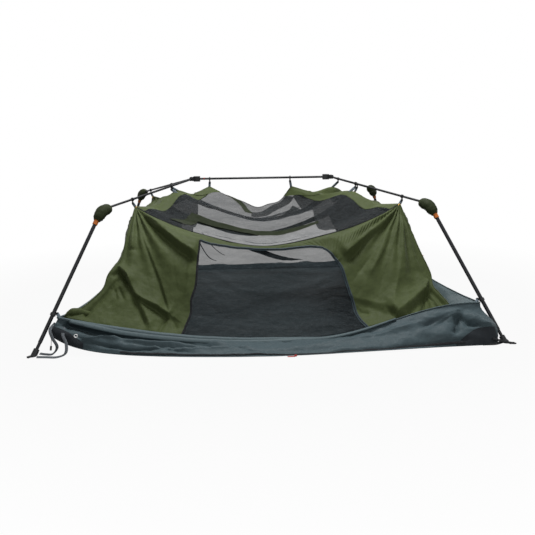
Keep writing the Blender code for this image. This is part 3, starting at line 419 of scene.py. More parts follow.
# Folds of the front skirt, as lines of (x, share of the way down from the top edge to the lip)
SKIRT_FOLDS = [
    (
        [(-1.38, 0.17), (-1.0, 0.19), (-0.55, 0.25), (-0.1, 0.38)], 0.06, (0.13, 0.09), "valley",
        (0.03, 0.4),
    ),
    ([(-1.05, 0.44), (-0.7, 0.5), (-0.35, 0.62)], 0.022, (0.07, 0.06), "ridge", (0.2, 0.3)),
    ([(-1.24, 0.66), (-1.12, 0.46), (-0.98, 0.42)], 0.034, (0.07, 0.08), "roll", (0.1, 0.2)),
    ([(-1.2, 0.7), (-0.95, 0.8), (-0.72, 0.7), (-0.5, 0.86)], 0.034, (0.06, 0.06), "cut", (0.2, 0.3)),
    ([(-0.9, 0.62), (-0.6, 0.72), (-0.3, 0.64), (-0.05, 0.74)], 0.024, (0.05, 0.06), "roll", (0.2, 0.3)),
    ([(-0.45, 0.24), (-0.2, 0.6), (-0.05, 0.9)], 0.022, (0.05, 0.06), "cut", (0.2, 0.3)),
    ([(-0.62, 0.3), (-0.35, 0.48), (-0.1, 0.56)], 0.02, (0.04, 0.05), "cut", (0.2, 0.3)),
    ([(-0.3, 0.6), (0.1, 0.74), (0.55, 0.66)], 0.016, (0.08, 0.06), "valley", (0.3, 0.3)),
    ([(0.1, 0.62), (0.5, 0.4), (0.95, 0.28), (1.15, 0.22)], 0.016, (0.05, 0.07), "ridge", (0.2, 0.3)),
    ([(0.1, 0.9), (0.8, 0.9), (1.38, 0.86)], 0.022, (0.05, 0.05), "cut", (0.2, 0.1)),
    ([(1.235, 0.25), (1.225, 0.46), (1.2, 0.74)], 0.052, (0.024, 0.036), "cut", (0.1, 0.2)),
    ([(1.24, 0.25), (1.308, 0.54), (1.4, 0.6)], 0.048, (0.026, 0.036), "cut", (0.1, 0.2)),
    ([(1.3, 0.12), (1.18, 0.28), (1.05, 0.52)], 0.022, (0.03, 0.05), "cut", (0.2, 0.3)),
    ([(1.24, 0.16), (1.08, 0.32), (0.95, 0.48)], 0.024, (0.03, 0.06), "cut", (0.2, 0.3)),
    ([(1.24, 0.12), (1.22, 0.28)], 0.03, (0.03, 0.03), "ridge", (0.2, 0.2)),
    ([(1.32, 0.2), (1.36, 0.42), (1.42, 0.6)], 0.03, (0.04, 0.05), "ridge", (0.2, 0.2)),
]

# Loose wrinkles: their size and depth, how they are drawn out, and where the noise starts
RUMPLES = {
    "front_panel": [(0.30, 0.010, (1, 1, 0.7), 3.1), (0.07, 0.0045, (1, 1, 0.6), 7.7)],
    "door_net": [(0.16, 0.012, (0.7, 1, 1.6), 21.0, 4), (0.045, 0.004, (1, 1, 2), 4.0)],
    "roof_net_front": [(0.22, 0.010, (0.6, 1.6, 1), 1.3), (0.06, 0.004, (0.7, 1.4, 1), 6.3)],
    "roof_net_back": [(0.22, 0.010, (0.6, 1.6, 1), 9.4), (0.06, 0.004, (0.7, 1.4, 1), 14.4)],
    "left_panel": [(0.34, 0.014, (1, 1, 0.6), 11.0), (0.08, 0.006, (1, 1.2, 0.6), 15.0)],
    "right_panel": [(0.34, 0.014, (1, 1, 0.6), 15.0), (0.08, 0.006, (1, 1.2, 0.6), 19.0)],
    "back_panel": [(0.26, 0.012, (1, 1, 0.7), 31.0), (0.07, 0.004, (1, 1, 0.7), 35.0)],
    "tub_floor": [(0.30, 0.010, (1, 1, 1), 50.0)],
    "tub_skirt": [(0.24, 0.020, (0.6, 0.6, 2.0), 60.0), (0.07, 0.007, (0.8, 0.8, 1.6), 66.0)],
    "tub_inner_fold": [(0.13, 0.010, (1, 0.7, 1), 81.0)],
    "wall_foot": [(0.10, 0.006, (1, 1, 1.5), 71.0)],
}

# Pleats that spread from a point of a panel: the point, how many, their depth and reach, and their turn
PLEATS = {
    "front_panel": [((-0.985, 0.885), 20, 0.014, 0.70, 0.4), ((1.020, 0.875), 26, 0.020, 0.80, 1.1)],
    "left_panel": [
        (PEAK["corner_fl"][1:], 18, 0.020, 0.90, 11.0), (PEAK["corner_bl"][1:], 18, 0.020, 0.90, 13.0)
    ],
    "right_panel": [
        (PEAK["corner_fr"][1:], 18, 0.020, 0.90, 15.0), (PEAK["corner_br"][1:], 18, 0.020, 0.90, 17.0)
    ],
    "back_panel": [((-1.05, 0.865), 20, 0.016, 0.90, 0.3), ((0.935, 0.885), 20, 0.016, 0.90, 1.7)],
}

# An elbow pad's radius at even steps along it, its points around, and its steps
PAD_RADII = [0.0125, 0.0320, 0.0395, 0.0415, 0.0420, 0.0415, 0.0395, 0.0350, 0.0215]
PAD_SIDES = 36
PAD_STEPS = 40

# A tape's section, in widths and thicknesses
TAPE_SECTION = [(-0.5, 0), (-0.42, 0.5), (0.42, 0.5), (0.5, 0), (0.42, -0.5), (-0.42, -0.5)]
TAB_WIDTH = 0.020


# Curves and grids


def spline(points, count):
    """count + 1 points along a smooth curve through the given points."""
    points = [Vector(p) for p in points]
    ends = [2 * points[0] - points[1], *points, 2 * points[-1] - points[-2]]
    spans = len(points) - 1
    found = []
    for step in range(count + 1):
        at = min(step * spans / count, spans - 1e-9)
        t = at - int(at)
        a, b, c, d = ends[int(at) : int(at) + 4]
        bent = 2 * b + (c - a) * t + (2 * a - 5 * b + 4 * c - d) * t * t
        found.append(0.5 * (bent + (3 * b - a - 3 * c + d) * t**3))
    return np.array(found)


def coons(top, bottom, left, right):
    """A grid that fills the four edge curves; top and bottom run left to right."""
    u = np.linspace(0, 1, len(top))[None, :, None]
    v = np.linspace(0, 1, len(left))[:, None, None]
    down = (1 - v) * top[None] + v * bottom[None]
    across = (1 - u) * left[:, None] + u * right[:, None]
    corners = (1 - u) * (1 - v) * top[0] + u * (1 - v) * top[-1]
    return down + across - (corners + (1 - u) * v * bottom[0] + u * v * bottom[-1])


def rows_between(first, second, shares):
    """Rows from one curve to another, one at each share of the way."""
    shares = np.asarray(shares)[:, None, None]
    return (1 - shares) * first[None] + shares * second[None]


def shares_of(grid):
    """The share of the way down each row, and across each column."""
    return np.linspace(0, 1, grid.shape[0])[:, None], np.linspace(0, 1, grid.shape[1])[None, :]


def at_index(grid, row, column):
    """The grid's point at a row and column that needn't be whole."""
    row = min(max(row, 0.0), grid.shape[0] - 1.001)
    column = min(max(column, 0.0), grid.shape[1] - 1.001)
    j, i = int(row), int(column)
    v, u = row - j, column - i
    upper = grid[j, i] * (1 - u) + grid[j, i + 1] * u
    lower = grid[j + 1, i] * (1 - u) + grid[j + 1, i + 1] * u
    return upper * (1 - v) + lower * v


def peak(name):
    return Vector(PEAK[name])


def step_in(x):
    """0 below 0, 1 above 1 and smooth between."""
    x = np.clip(x, 0, 1)
    return x * x * (3 - 2 * x)


def held_edges(grid, sides, ends):
    """A weight that is 0 on the grid's edges, where the seams hold it, and 1 inside."""
    v, u = shares_of(grid)
    return step_in(np.minimum(u, 1 - u) / sides) * step_in(np.minimum(v, 1 - v) / ends)


def grid_normals(grid, outward):
    """Unit normals of a grid, all on the side of the outward direction."""
    found = np.cross(np.gradient(grid, axis=1), np.gradient(grid, axis=0))
    found /= np.linalg.norm(found, axis=2, keepdims=True) + 1e-12
    return found if (found.reshape(-1, 3) @ np.array(outward)).sum() >= 0 else -found


def near_line(flat, line):
    """Distance to a line of points, the share along it, and the side, + on its left."""
    line = np.array(line, float)
    lengths = np.linalg.norm(np.diff(line, axis=0), axis=1)
    best = np.full(flat.shape[:2], 1e9)
    side = np.ones(flat.shape[:2])
    along = np.zeros(flat.shape[:2])
    done = 0.0
    for start, end, length in zip(line, line[1:], lengths):
        run = (end - start) / length
        offset = flat - start
        t = np.clip(offset @ run, 0, length)
        away = np.linalg.norm(offset - t[..., None] * run, axis=2)
        cross = run[0] * offset[..., 1] - run[1] * offset[..., 0]
        nearer = away < best
        best = np.where(nearer, away, best)
        side = np.where(nearer, np.where(cross >= 0, 1.0, -1.0), side)
        along = np.where(nearer, (done + t) / lengths.sum(), along)
        done += length
    return best, along, side


def rolled(s):
    """A roll's section: it swells up to its crest at 0, drops steeply below and comes back slowly."""
    above = np.exp(-np.maximum(s, 0) / 1.1)
    drop = 1 - 1.8 * np.clip(-s / 0.5, 0, 1) ** 0.9
    hollow = -0.8 * np.exp(-np.maximum(-s - 0.5, 0) / 0.8)
    return np.where(s >= 0, above, np.where(s > -0.5, drop, hollow))


SHAPES = {
    "ridge": lambda s: np.exp(-s * s),
    "valley": lambda s: -np.exp(-s * s),
    "sharp": lambda s: np.exp(-np.abs(s) * 1.4),
    "cut": lambda s: -np.exp(-np.abs(s) * 1.8),
    "roll": rolled,
    "gable": lambda s: np.exp(-np.where(s > 0, np.abs(s) / 2.2, np.abs(s) / 0.8)),
}


def crease(flat, line, depth, width, shape, fade):
    """How far a fold along a line lifts each point."""
    away, along, side = near_line(flat, line)
    wide = width[0] + (width[1] - width[0]) * along
    ends = step_in(along / fade[0]) * step_in((1 - along) / fade[1])
    return depth * SHAPES[shape](side * away / wide) * (0.15 + 0.85 * ends) * (wide / max(width))


def creases(flat, folds):
    return sum(crease(flat, *fold) for fold in folds)


def rumple(grid, size, depth, stretch, seed, octaves=3):
    """A height for each point from smooth noise of the given size."""
    flat = (grid * (np.array(stretch) / size) + seed).reshape(-1, 3)
    heights = [noise.fractal(Vector(p), 0.9, 2.1, octaves) for p in flat]
    return depth * np.array(heights).reshape(grid.shape[:2])


def pleats(flat, centre, count, depth, reach, start):
    """Folds that spread from a point: strongest a little way out and gone at the reach."""
    offset = flat - np.array(centre)
    distance = np.linalg.norm(offset, axis=2)
    turn = np.arctan2(offset[..., 1], offset[..., 0])
    size = np.clip(distance / reach, 0, 1)
    strength = np.sin(math.pi * size**0.7) * (1 - size)
    return depth * strength * np.sin(count * turn + start + 0.6 * np.sin(5 * distance / reach))


def rumples(grid, name):
    return sum(rumple(grid, *row) for row in RUMPLES[name])


def fans(flat, name):
    return sum(pleats(flat, *row) for row in PLEATS[name])


def pushed(grid, normals, lift):
    return grid + normals * lift[..., None]


def billow(grid, outward, count, depth):
    """Broad upright waves that bulge outward between the grid's edges."""
    v, u = shares_of(grid)
    wave = np.sin(math.pi * u) * np.sin(math.pi * v) * (0.35 + np.sin(math.tau * count * u + 2.2 * v))
    return pushed(grid, np.array(outward), depth * wave)


# Meshes


def add_object(name, data):
    made = bpy.data.objects.new(name, data)
    bpy.context.scene.collection.objects.link(made)
    return made


def mesh_object(name, grid, keep=None, closed=False):
    """An object with the grid's cells; keep is a mask of the cells it has."""
    rows, columns = grid.shape[:2]
    faces = []
    for j in range(rows - 1):
        for i in range(columns if closed else columns - 1):
            if keep is None or keep[j, i]:
                near, far = j * columns + i, j * columns + (i + 1) % columns
                faces.append((near, far, far + columns, near + columns))
    used = sorted({index for face in faces for index in face})
    place = {old: new for new, old in enumerate(used)}
    points = grid.reshape(-1, 3)[used].tolist()
    mesh = bpy.data.meshes.new(name)
    mesh.from_pydata(points, [], [[place[i] for i in face] for face in faces])
    mesh.shade_smooth()
    return add_object(name, mesh)


def edit_mesh(obj, change):
    """Makes a change to an object's mesh and turns its faces outward."""
    bm = bmesh.new()
    bm.from_mesh(obj.data)
    bm.verts.ensure_lookup_table()
    change(bm)
    bmesh.ops.recalc_face_normals(bm, faces=bm.faces)
    bm.to_mesh(obj.data)
    bm.free()


def close_over(obj, *rings):
    """Adds a face over each ring, a run of the mesh's point numbers."""
    edit_mesh(obj, lambda bm: [bm.faces.new([bm.verts[i] for i in ring]) for ring in rings])


def cap_ends(obj, sides, rings):
    """Closes both ends of a tube made of rings."""
    close_over(obj, range(sides)[::-1], range((rings - 1) * sides, rings * sides))


def thicken(obj, thickness=CLOTH):
    """Gives a sheet its thickness, half of it to each side."""
    shell = obj.modifiers.new("thickness", "SOLIDIFY")
    shell.thickness = thickness
    shell.offset = 0
    bpy.context.view_layer.update()
    graph = bpy.context.evaluated_depsgraph_get()
    solid = bpy.data.meshes.new_from_object(obj.evaluated_get(graph))
    obj.modifiers.clear()
    obj.data = solid
    return obj


def finish_with(obj, material):
    obj.data.materials.clear()
    obj.data.materials.append(material)
    return obj


# Materials


class Nodes:
    """A node tree and short ways to add to it."""

    def __init__(self, tree):
        self.tree = tree

    def add(self, kind, levels=(), **settings):
        """A new node; levels are pairs of a socket and its value."""
        node = self.tree.nodes.new(kind)
        for key, value in settings.items():
            setattr(node, key, value)
        for socket, value in levels:
            node.inputs[socket].default_value = value
        return node

    def link(self, source, target):
        self.tree.links.new(source, target)

    def math(self, operation, first, second):
        made = self.add("ShaderNodeMath", operation=operation)
        for socket, value in zip(made.inputs, (first, second)):
            if isinstance(value, (int, float)):
                socket.default_value = value
            else:
                self.link(value, socket)
        return made.outputs["Value"]

    def ramp(self, value, low, high, start=0.3, end=0.7):
        """A number that goes from low to high as the value goes from start to end."""
        levels = zip(("From Min", "From Max", "To Min", "To Max"), (start, end, low, high))
        made = self.add("ShaderNodeMapRange", levels)
        self.link(value, made.inputs["Value"])
        return made.outputs["Result"]

    def mix(self, share, first, second):
        """A shader that goes from the first to the second as the share rises."""
        made = self.add("ShaderNodeMixShader")
        for socket, source in zip(made.inputs, (share, first.outputs[0], second.outputs[0])):
            self.link(source, socket)
        return made.outputs[0]

    def seen_directly(self):
        """1 for what the camera sees, also in gloss and through glass; 0 for the light on the object."""
        path = self.add("ShaderNodeLightPath").outputs
        seen = self.math("MAXIMUM", path["Is Camera Ray"], path["Is Glossy Ray"])
        return self.math("MAXIMUM", seen, path["Is Transmission Ray"])


class Surface(Nodes):
    """A Principled material in its object's own coordinates."""

    def __init__(self, name, colour, roughness, metallic=0.0, sheen=0.0, specular=0.5):
        self.material = bpy.data.materials.new(name)
        self.material.use_nodes = True
        super().__init__(self.material.node_tree)
        self.shader = self.tree.nodes["Principled BSDF"].inputs
        self.shader["Base Color"].default_value = (*colour, 1)
        self.shader["Roughness"].default_value = roughness
        self.shader["Metallic"].default_value = metallic
        self.shader["Sheen Weight"].default_value = sheen
        self.shader["Specular IOR Level"].default_value = specular
        self.place = self.add("ShaderNodeTexCoord").outputs["Object"]
        self.colour = colour
        self.normal = None

    def mapped(self, socket, value):
        """The object's coordinates, scaled or turned."""
        made = self.add("ShaderNodeMapping", [(socket, value)])
        self.link(self.place, made.inputs["Vector"])
        return made.outputs["Vector"]

    def noise(self, scale, detail=4.0, stretch=(1, 1, 1), roughness=0.55):
        levels = [("Scale", scale), ("Detail", detail), ("Roughness", roughness)]
        made = self.add("ShaderNodeTexNoise", levels)
        self.link(self.mapped("Scale", stretch), made.inputs["Vector"])
        return made.outputs["Fac"]

    def threads(self, period, direction, turn=(0, 0, 0)):
        """Fine parallel threads, one each period, as a value from 0 to 1."""
        made = self.add("ShaderNodeTexWave", [("Scale", math.tau / (20 * period))], wave_type="BANDS")
        made.bands_direction = direction
        self.link(self.mapped("Rotation", turn), made.inputs["Vector"])
        return made.outputs["Fac"]

    def tint(self, value, darker, lighter, start=0.3, end=0.7):
        """Makes the base colour run from darker to lighter times itself as the value rises."""
        low = (*[c * darker for c in self.colour], 1)
        high = (*[min(c * lighter, 1) for c in self.colour], 1)
        made = self.add("ShaderNodeMix", data_type="RGBA")
        made.inputs["A"].default_value = low
        made.inputs["B"].default_value = high
        self.link(self.ramp(value, 0.0, 1.0, start, end), made.inputs["Factor"])
        self.link(made.outputs["Result"], self.shader["Base Color"])

    def rough(self, value, low, high):
        self.link(self.ramp(value, low, high), self.shader["Roughness"])

    def bump(self, value, distance, strength=1.0):
        made = self.add("ShaderNodeBump", [("Strength", strength), ("Distance", distance)])
        self.link(value, made.inputs["Height"])
        if self.normal is not None:
            self.link(self.normal, made.inputs["Normal"])
        self.normal = made.outputs["Normal"]
        self.link(self.normal, self.shader["Normal"])


def coated_cloth(name, colour, roughness):
    """Coated polyester: fine weave, small crumples and slightly uneven colour."""
    made = Surface(name, colour, roughness, sheen=0.03, specular=0.14)
    made.shader["Sheen Roughness"].default_value = 0.4
    broad = made.math("MULTIPLY", made.noise(2.2, 5.0), 0.6)
    fine = made.noise(38.0, 6.0)
    made.tint(made.math("ADD", broad, made.math("MULTIPLY", fine, 0.4)), 0.86, 1.14)
    made.rough(fine, roughness - 0.08, roughness + 0.10)
    made.bump(made.noise(9.0, 5.0, (1, 1, 1), 0.6), 0.010, 0.5)
    made.bump(made.noise(45.0, 5.0, (1, 1, 1.6), 0.6), 0.0020, 0.6)
    warp, deep = made.threads(CLOTH_THREAD, "X"), made.threads(CLOTH_THREAD, "Y")
    weft = made.threads(CLOTH_THREAD, "Z", (0.35, 0, 0))
    both = made.math("MULTIPLY", made.math("ADD", weft, deep), 0.5)
    made.bump(made.math("MAXIMUM", warp, both), 0.0002)
    return made.material


def net(name, colour, cover, streak):
    """See-through insect net: cover is the share of light that its threads stop."""
    made = Surface(name, colour, 0.72, sheen=0.02, specular=0.08)
    long_streaks = made.noise(3.5, 6.0, (1.0, 1.0, 5.0), 0.65)
    mottling_and_sheen = made.noise(26.0, 5.0, (1.0, 1.0, 2.2), 0.6)
    warp, weft = made.threads(NET_THREAD, "X"), made.threads(NET_THREAD, "Z", (0.5, 0, 0))
    threads = made.math("MAXIMUM", warp, weft)
    open_share = made.math("MULTIPLY", made.math("SUBTRACT", threads, 0.75), 0.16)
    folds = made.math("MULTIPLY", made.math("SUBTRACT", long_streaks, 0.5), streak)
    spots = made.math("MULTIPLY", made.math("SUBTRACT", mottling_and_sheen, 0.5), 0.5 * streak)
    total = made.math("ADD", made.math("ADD", folds, spots), made.math("ADD", open_share, cover))
    made.link(total, made.shader["Alpha"])
    # The base colour runs lighter in stretched streaks: partly uneven tone, partly painted sheen along the
    # net's creases
    made.tint(mottling_and_sheen, 0.6, 1.9)
    made.bump(mottling_and_sheen, 0.004, 0.5)
    made.material.surface_render_method = "DITHERED"
    return made.material


def webbing(name, colour):
    """Woven tape: coarse ribs across it."""
    made = Surface(name, colour, 0.78, sheen=0.05, specular=0.15)
    made.bump(made.threads(0.0030, "Z", (0.4, 0.5, 0)), 0.0006)
    made.bump(made.threads(0.0022, "X", (0, 0, 0.7)), 0.0004)
    made.tint(made.noise(120.0, 3.0), 0.75, 1.25)
    return made.material


def moulded(name, colour, roughness):
    """Moulded plastic with a faint grain and slight scuffs."""
    made = Surface(name, colour, roughness, specular=0.30)
    made.bump(made.noise(900.0, 3.0), 0.00015, 0.6)
    scuffs = made.noise(60.0, 6.0, (1, 1, 1), 0.7)
    made.rough(scuffs, roughness - 0.06, roughness + 0.14)
    made.tint(scuffs, 0.85, 1.25, 0.35, 0.75)
    return made.material


def coated_tube(name, colour):
    """Powder-coated steel tube: hammered grain and light handling marks."""
    made = Surface(name, colour, 0.46, specular=0.25)
    made.bump(made.noise(420.0, 4.0), 0.0001, 0.5)
    marks = made.noise(24.0, 7.0, (1, 1, 0.25), 0.75)
    made.rough(marks, 0.34, 0.56)
    made.tint(marks, 0.9, 1.2, 0.4, 0.8)
    return made.material


def bare_metal(name, colour, roughness, metallic, grain, low, high):
    """Bare metal, rubbed unevenly dull."""
    made = Surface(name, colour, roughness, metallic)
    made.rough(made.noise(grain, 4.0), low, high)
    made.bump(made.noise(500.0, 3.0), 0.0001, 0.5)
    return made.material


OLIVE = coated_cloth("olive_cloth_coated", (0.057, 0.074, 0.026), 0.60)
OLIVE_DARK = coated_cloth("olive_cloth_padded", (0.026, 0.034, 0.014), 0.74)
# A darker copy of the olive cloth, as painted shade on strips of the roof
OLIVE_PAINTED_SHADE = coated_cloth("olive_cloth_painted_shade", (0.014, 0.019, 0.008), 0.80)
SLATE = coated_cloth("slate_cloth_coated", (0.060, 0.086, 0.096), 0.50)
# A lighter copy of the slate cloth, as painted light on the tub's rim roll, the band below it and the right
# side's inner fold
SLATE_PAINTED_LIGHT = coated_cloth("slate_cloth_painted_light", (0.090, 0.124, 0.134), 0.46)
# A darker copy of the slate cloth, as painted shade on the skirt's front corners
SLATE_PAINTED_SHADE = coated_cloth("slate_cloth_painted_shade", (0.018, 0.022, 0.026), 0.62)
NET_ROOF = net("black_net_roof", (0.013, 0.016, 0.018), 0.56, 0.36)
# Near-opaque dark net: partly a doubled net, partly painted shade
NET_DOUBLE_AND_SHADE = net("black_net_double_and_shade", (0.009, 0.011, 0.012), 0.90, 0.16)
NET_DOOR = net("black_net_door", (0.014, 0.018, 0.020), 0.62, 0.26)
NET_BACK = net("black_net_back", (0.016, 0.019, 0.022), 0.38, 0.22)
BINDING = coated_cloth("slate_binding", (0.036, 0.056, 0.066), 0.60)
BLACK_TAPE = webbing("black_tape", (0.012, 0.013, 0.015))
GREY_WEB = webbing("grey_webbing_woven", (0.150, 0.165, 0.180))
SLATE_WEB = webbing("slate_webbing", (0.160, 0.200, 0.235))
RED_WEB = webbing("red_webbing", (0.30, 0.045, 0.030))
TUBE = coated_tube("black_tube_coated", (0.007, 0.008, 0.010))
PLASTIC = moulded("black_plastic_moulded", (0.010, 0.011, 0.012), 0.46)
ORANGE = moulded("orange_plastic_moulded", (0.60, 0.170, 0.030), 0.46)
RED = moulded("red_plastic_moulded", (0.45, 0.030, 0.022), 0.40)
BRASS = bare_metal("brass_grommet", (0.62, 0.40, 0.13), 0.30, 1.0, 300.0, 0.22, 0.42)
METAL = bare_metal("bright_metal", (0.50, 0.50, 0.49), 0.35, 0.9, 260.0, 0.28, 0.48)

FRAME_FINISH = {
    ("ridge_pole", "roof_pole_", "leg_tube_", "leg_inner_"): TUBE,
    ("hub_", "hook_", "elbow_link_", "foot_", "leg_clip_", "leg_button_"): PLASTIC,
    ("leg_collar_",): ORANGE,
    ("zip_pull",): RED,
}


# Camera, lights and floor


def camera():
    data = bpy.data.cameras.new("camera")
    data.lens = CAMERA_LENS
    data.sensor_width = CAMERA_SENSOR
    made = add_object("camera", data)
    made.location = CAMERA_AT
    made.rotation_euler = [math.radians(a) for a in CAMERA_TURN]
    bpy.context.scene.camera = made


def area_light(name, at, aim, size, power):
    data = bpy.data.lights.new(name, "AREA")
    data.shape = "SQUARE"
    data.size = size
    data.energy = power
    made = add_object(name, data)
    made.location = at
    made.rotation_euler = (Vector(aim) - Vector(at)).to_track_quat("-Z", "Y").to_euler()


def world():
    """Plain light on the object, and white where the camera looks past it."""
    made = bpy.data.worlds.new("studio")
    made.use_nodes = True
    nodes = Nodes(made.node_tree)
    light = made.node_tree.nodes["Background"]
    light.inputs["Color"].default_value = (1, 1, 1, 1)
    light.inputs["Strength"].default_value = WORLD_LIGHT
    white = nodes.add("ShaderNodeBackground", [("Color", (1, 1, 1, 1)), ("Strength", 1.0)])
    mixed = nodes.mix(nodes.seen_directly(), light, white)
    nodes.link(mixed, made.node_tree.nodes["World Output"].inputs["Surface"])
    bpy.context.scene.world = made


def floor():
    """A pale floor that looks white and keeps a soft shadow of the object."""
    mesh = bpy.data.meshes.new("floor")
    corners = [(-1, -1), (1, -1), (1, 1), (-1, 1)]
    points = [(x * FLOOR_HALF, y * FLOOR_HALF, FLOOR_HEIGHT) for x, y in corners]
    mesh.from_pydata(points, [], [(0, 1, 2, 3)])
    made = add_object("floor", mesh)
    paint = bpy.data.materials.new("floor_white")
    paint.use_nodes = True
    paint.node_tree.nodes.clear()
    nodes = Nodes(paint.node_tree)
    matt = nodes.add("ShaderNodeBsdfDiffuse", [("Color", (*FLOOR_COLOUR, 1))])
    glow = nodes.add("ShaderNodeEmission", [("Color", (1, 1, 1, 1))])
    distance = nodes.add("ShaderNodeVectorMath", operation="LENGTH")
    nodes.link(nodes.add("ShaderNodeNewGeometry").outputs["Position"], distance.inputs[0])
    fade = nodes.ramp(distance.outputs["Value"], FLOOR_GLOW, 1.0, *FLOOR_FADE)
    share = nodes.math("MULTIPLY", nodes.seen_directly(), fade)
    out = nodes.add("ShaderNodeOutputMaterial")
    nodes.link(nodes.mix(share, matt, glow), out.inputs["Surface"])
    mesh.materials.append(paint)


def finish_frame():
    """Each hard CAD node keeps its shape and gets its material."""
    for name, node in frame["nodes"].items():
        for starts, material in FRAME_FINISH.items():
            if name.startswith(starts):
                node.data.materials.clear()
                node.data.materials.append(material)


# Tubes, ribbons and small hardware


def turned(direction, side=(0, 0, 1)):
    """Three unit axes: side, across and along a direction."""
    z = Vector(direction).normalized()
    x = Vector(side) - z * z.dot(Vector(side))
    x = x.normalized() if x.length > 1e-6 else z.orthogonal().normalized()
    return x, z.cross(x), z


def unit_rows(rows):
    return rows / (np.linalg.norm(rows, axis=1, keepdims=True) + 1e-12)


def ribbon(name, path, width, thick, normals, material):
    """A flat tape along a path, with rounded edges; normals say which way its face looks."""
    path = np.asarray(path, float)
    along = unit_rows(np.gradient(path, axis=0))
    across = unit_rows(np.cross(along, np.broadcast_to(normals, path.shape)))
    face = np.cross(across, along)
    lines = [path + across * (x * width) + face * (y * thick) for x, y in TAPE_SECTION]
    made = mesh_object(name, np.stack(lines, axis=1), closed=True)
    cap_ends(made, len(lines), len(path))
    return finish_with(made, material)


def ring_of(point, direction, side, radii, squeeze=1.0):
    """Points around a point, one at each radius, in the plane across a direction."""
    x, y, _ = turned(direction, side)
    ring = []
    for k, radius in enumerate(radii):
        turn = math.tau * k / len(radii)
        across = np.array(x) * radius * math.cos(turn)
        ring.append(point + across + np.array(y) * radius * squeeze * math.sin(turn))
    return ring


def tube(name, path, radii, material, sides=12, squeeze=1.0):
    """A round or oval tube along a path, closed at both ends."""
    path = np.asarray(path, float)
    stations = zip(path, np.gradient(path, axis=0), np.broadcast_to(radii, (len(path),)))
    rings = [ring_of(at, way, (0, 0, 1), [size] * sides, squeeze) for at, way, size in stations]
    made = mesh_object(name, np.array(rings), closed=True)
    cap_ends(made, sides, len(path))
    return finish_with(made, material)


def ring_piece(name, centre, direction, radius, wire, material):
    """A small metal or plastic ring."""
    x, y, up = turned(direction)
    turns, sides = 24, 8
    rings = []
    for k in range(turns + 1):
        turn = math.tau * (k % turns) / turns
        out = x * math.cos(turn) + y * math.sin(turn)
        ring = []
        for a in [math.tau * s / sides for s in range(sides)]:
            ring.append(Vector(centre) + out * (radius + wire * math.cos(a)) + up * wire * math.sin(a))
        rings.append(ring)
    made = mesh_object(name, np.array(rings), closed=True)
    edit_mesh(made, lambda bm: bmesh.ops.remove_doubles(bm, verts=bm.verts, dist=1e-6))
    return finish_with(made, material)


class Corner:
    """Points and directions of one roof pole and its leg, as in the part's source."""

    def __init__(self, key):
        sx, sy = CORNERS[key]
        self.key = key
        self.pin, self.elbow, self.foot = (
            Vector((sx * point.x, sy * point.y, point.z)) for point in (HUB_PIN, ELBOW, FOOT)
        )
        self.pole_dir = (self.elbow - self.pin).normalized()
        self.leg_dir = (self.foot - self.elbow).normalized()
        self.bend_axis = self.leg_dir.cross(-self.pole_dir).normalized()
        inward = (self.leg_dir - self.pole_dir).normalized()
        half = self.leg_dir.angle(-self.pole_dir) / 2
        self.fold_pin = self.elbow + inward * (PIN_INSET / math.sin(half))

    def down(self, distance):
        return self.elbow + self.leg_dir * distance

    def along(self, share):
        return self.pin.lerp(self.elbow, share)


CORNER = {key: Corner(key) for key in CORNERS}


# Canopy


def hip_line(names, count):
    """A roof pole's seam: it hangs down between its hooks."""
    points = [peak(names[0])]
    for first, second in zip(names, names[1:]):
        middle = peak(first).lerp(peak(second), 0.5)
        points += [middle - Vector((0, 0, HIP_DIP)), peak(second)]
    return spline(points, count)


def flatten(piece):
    """Canopy cloth goes down on the ground as the frame folds over it."""
    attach(piece, "canopy")
    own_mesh(piece)
    return piece


def strip_on(name, grid, upper, lower, lift):
    """A piece of cloth that lies on a grid between two lines of (share across, share down the rows)."""
    edges = [spline([(*point, 0) for point in line], STRIP_STEPS[0]) for line in (upper, lower)]
    rows, columns = grid.shape[0] - 1, grid.shape[1] - 1
    made = [
        [at_index(grid, v * rows, u * columns) for u, v, _ in line]
        for line in rows_between(*edges, np.linspace(0, 1, STRIP_STEPS[1]))
    ]
    return mesh_object(name, np.array(made) + np.array(lift))


def front_grid():
    """The whole front: eave band, then door head to sill, before its folds."""
    left_top = peak("corner_fl").lerp(Vector(SEAM["fl"][0]), HEAD_SHARE)
    right_top = peak("corner_fr").lerp(Vector(SEAM["fr"][0]), HEAD_SHARE)
    head = spline([left_top, HEAD_ENDS[0], *DOOR_TOP, HEAD_ENDS[1], right_top], FRONT_COLUMNS)
    left = spline([left_top, *SEAM["fl"], SILL_FRONT[0]], FRONT_DROP)
    right = spline([right_top, *SEAM["fr"], SILL_FRONT[-1]], FRONT_DROP)
    lower = coons(head, spline(SILL_FRONT, FRONT_COLUMNS), left, right)
    down = np.linspace(0, 1, FRONT_DROP + 1)[:, None]
    across = np.arange(FRONT_COLUMNS + 1)[None, :]
    for column, lean in DOOR_LEAN.items():
        near = np.exp(-(((across - column) / (0.1 * FRONT_COLUMNS)) ** 2))
        lower[..., 0] += lean * np.sin(math.pi * down) * near
    eave = spline(FRONT_TOP, FRONT_COLUMNS)
    return np.concatenate([rows_between(eave, head, np.arange(FRONT_BAND) / FRONT_BAND), lower])


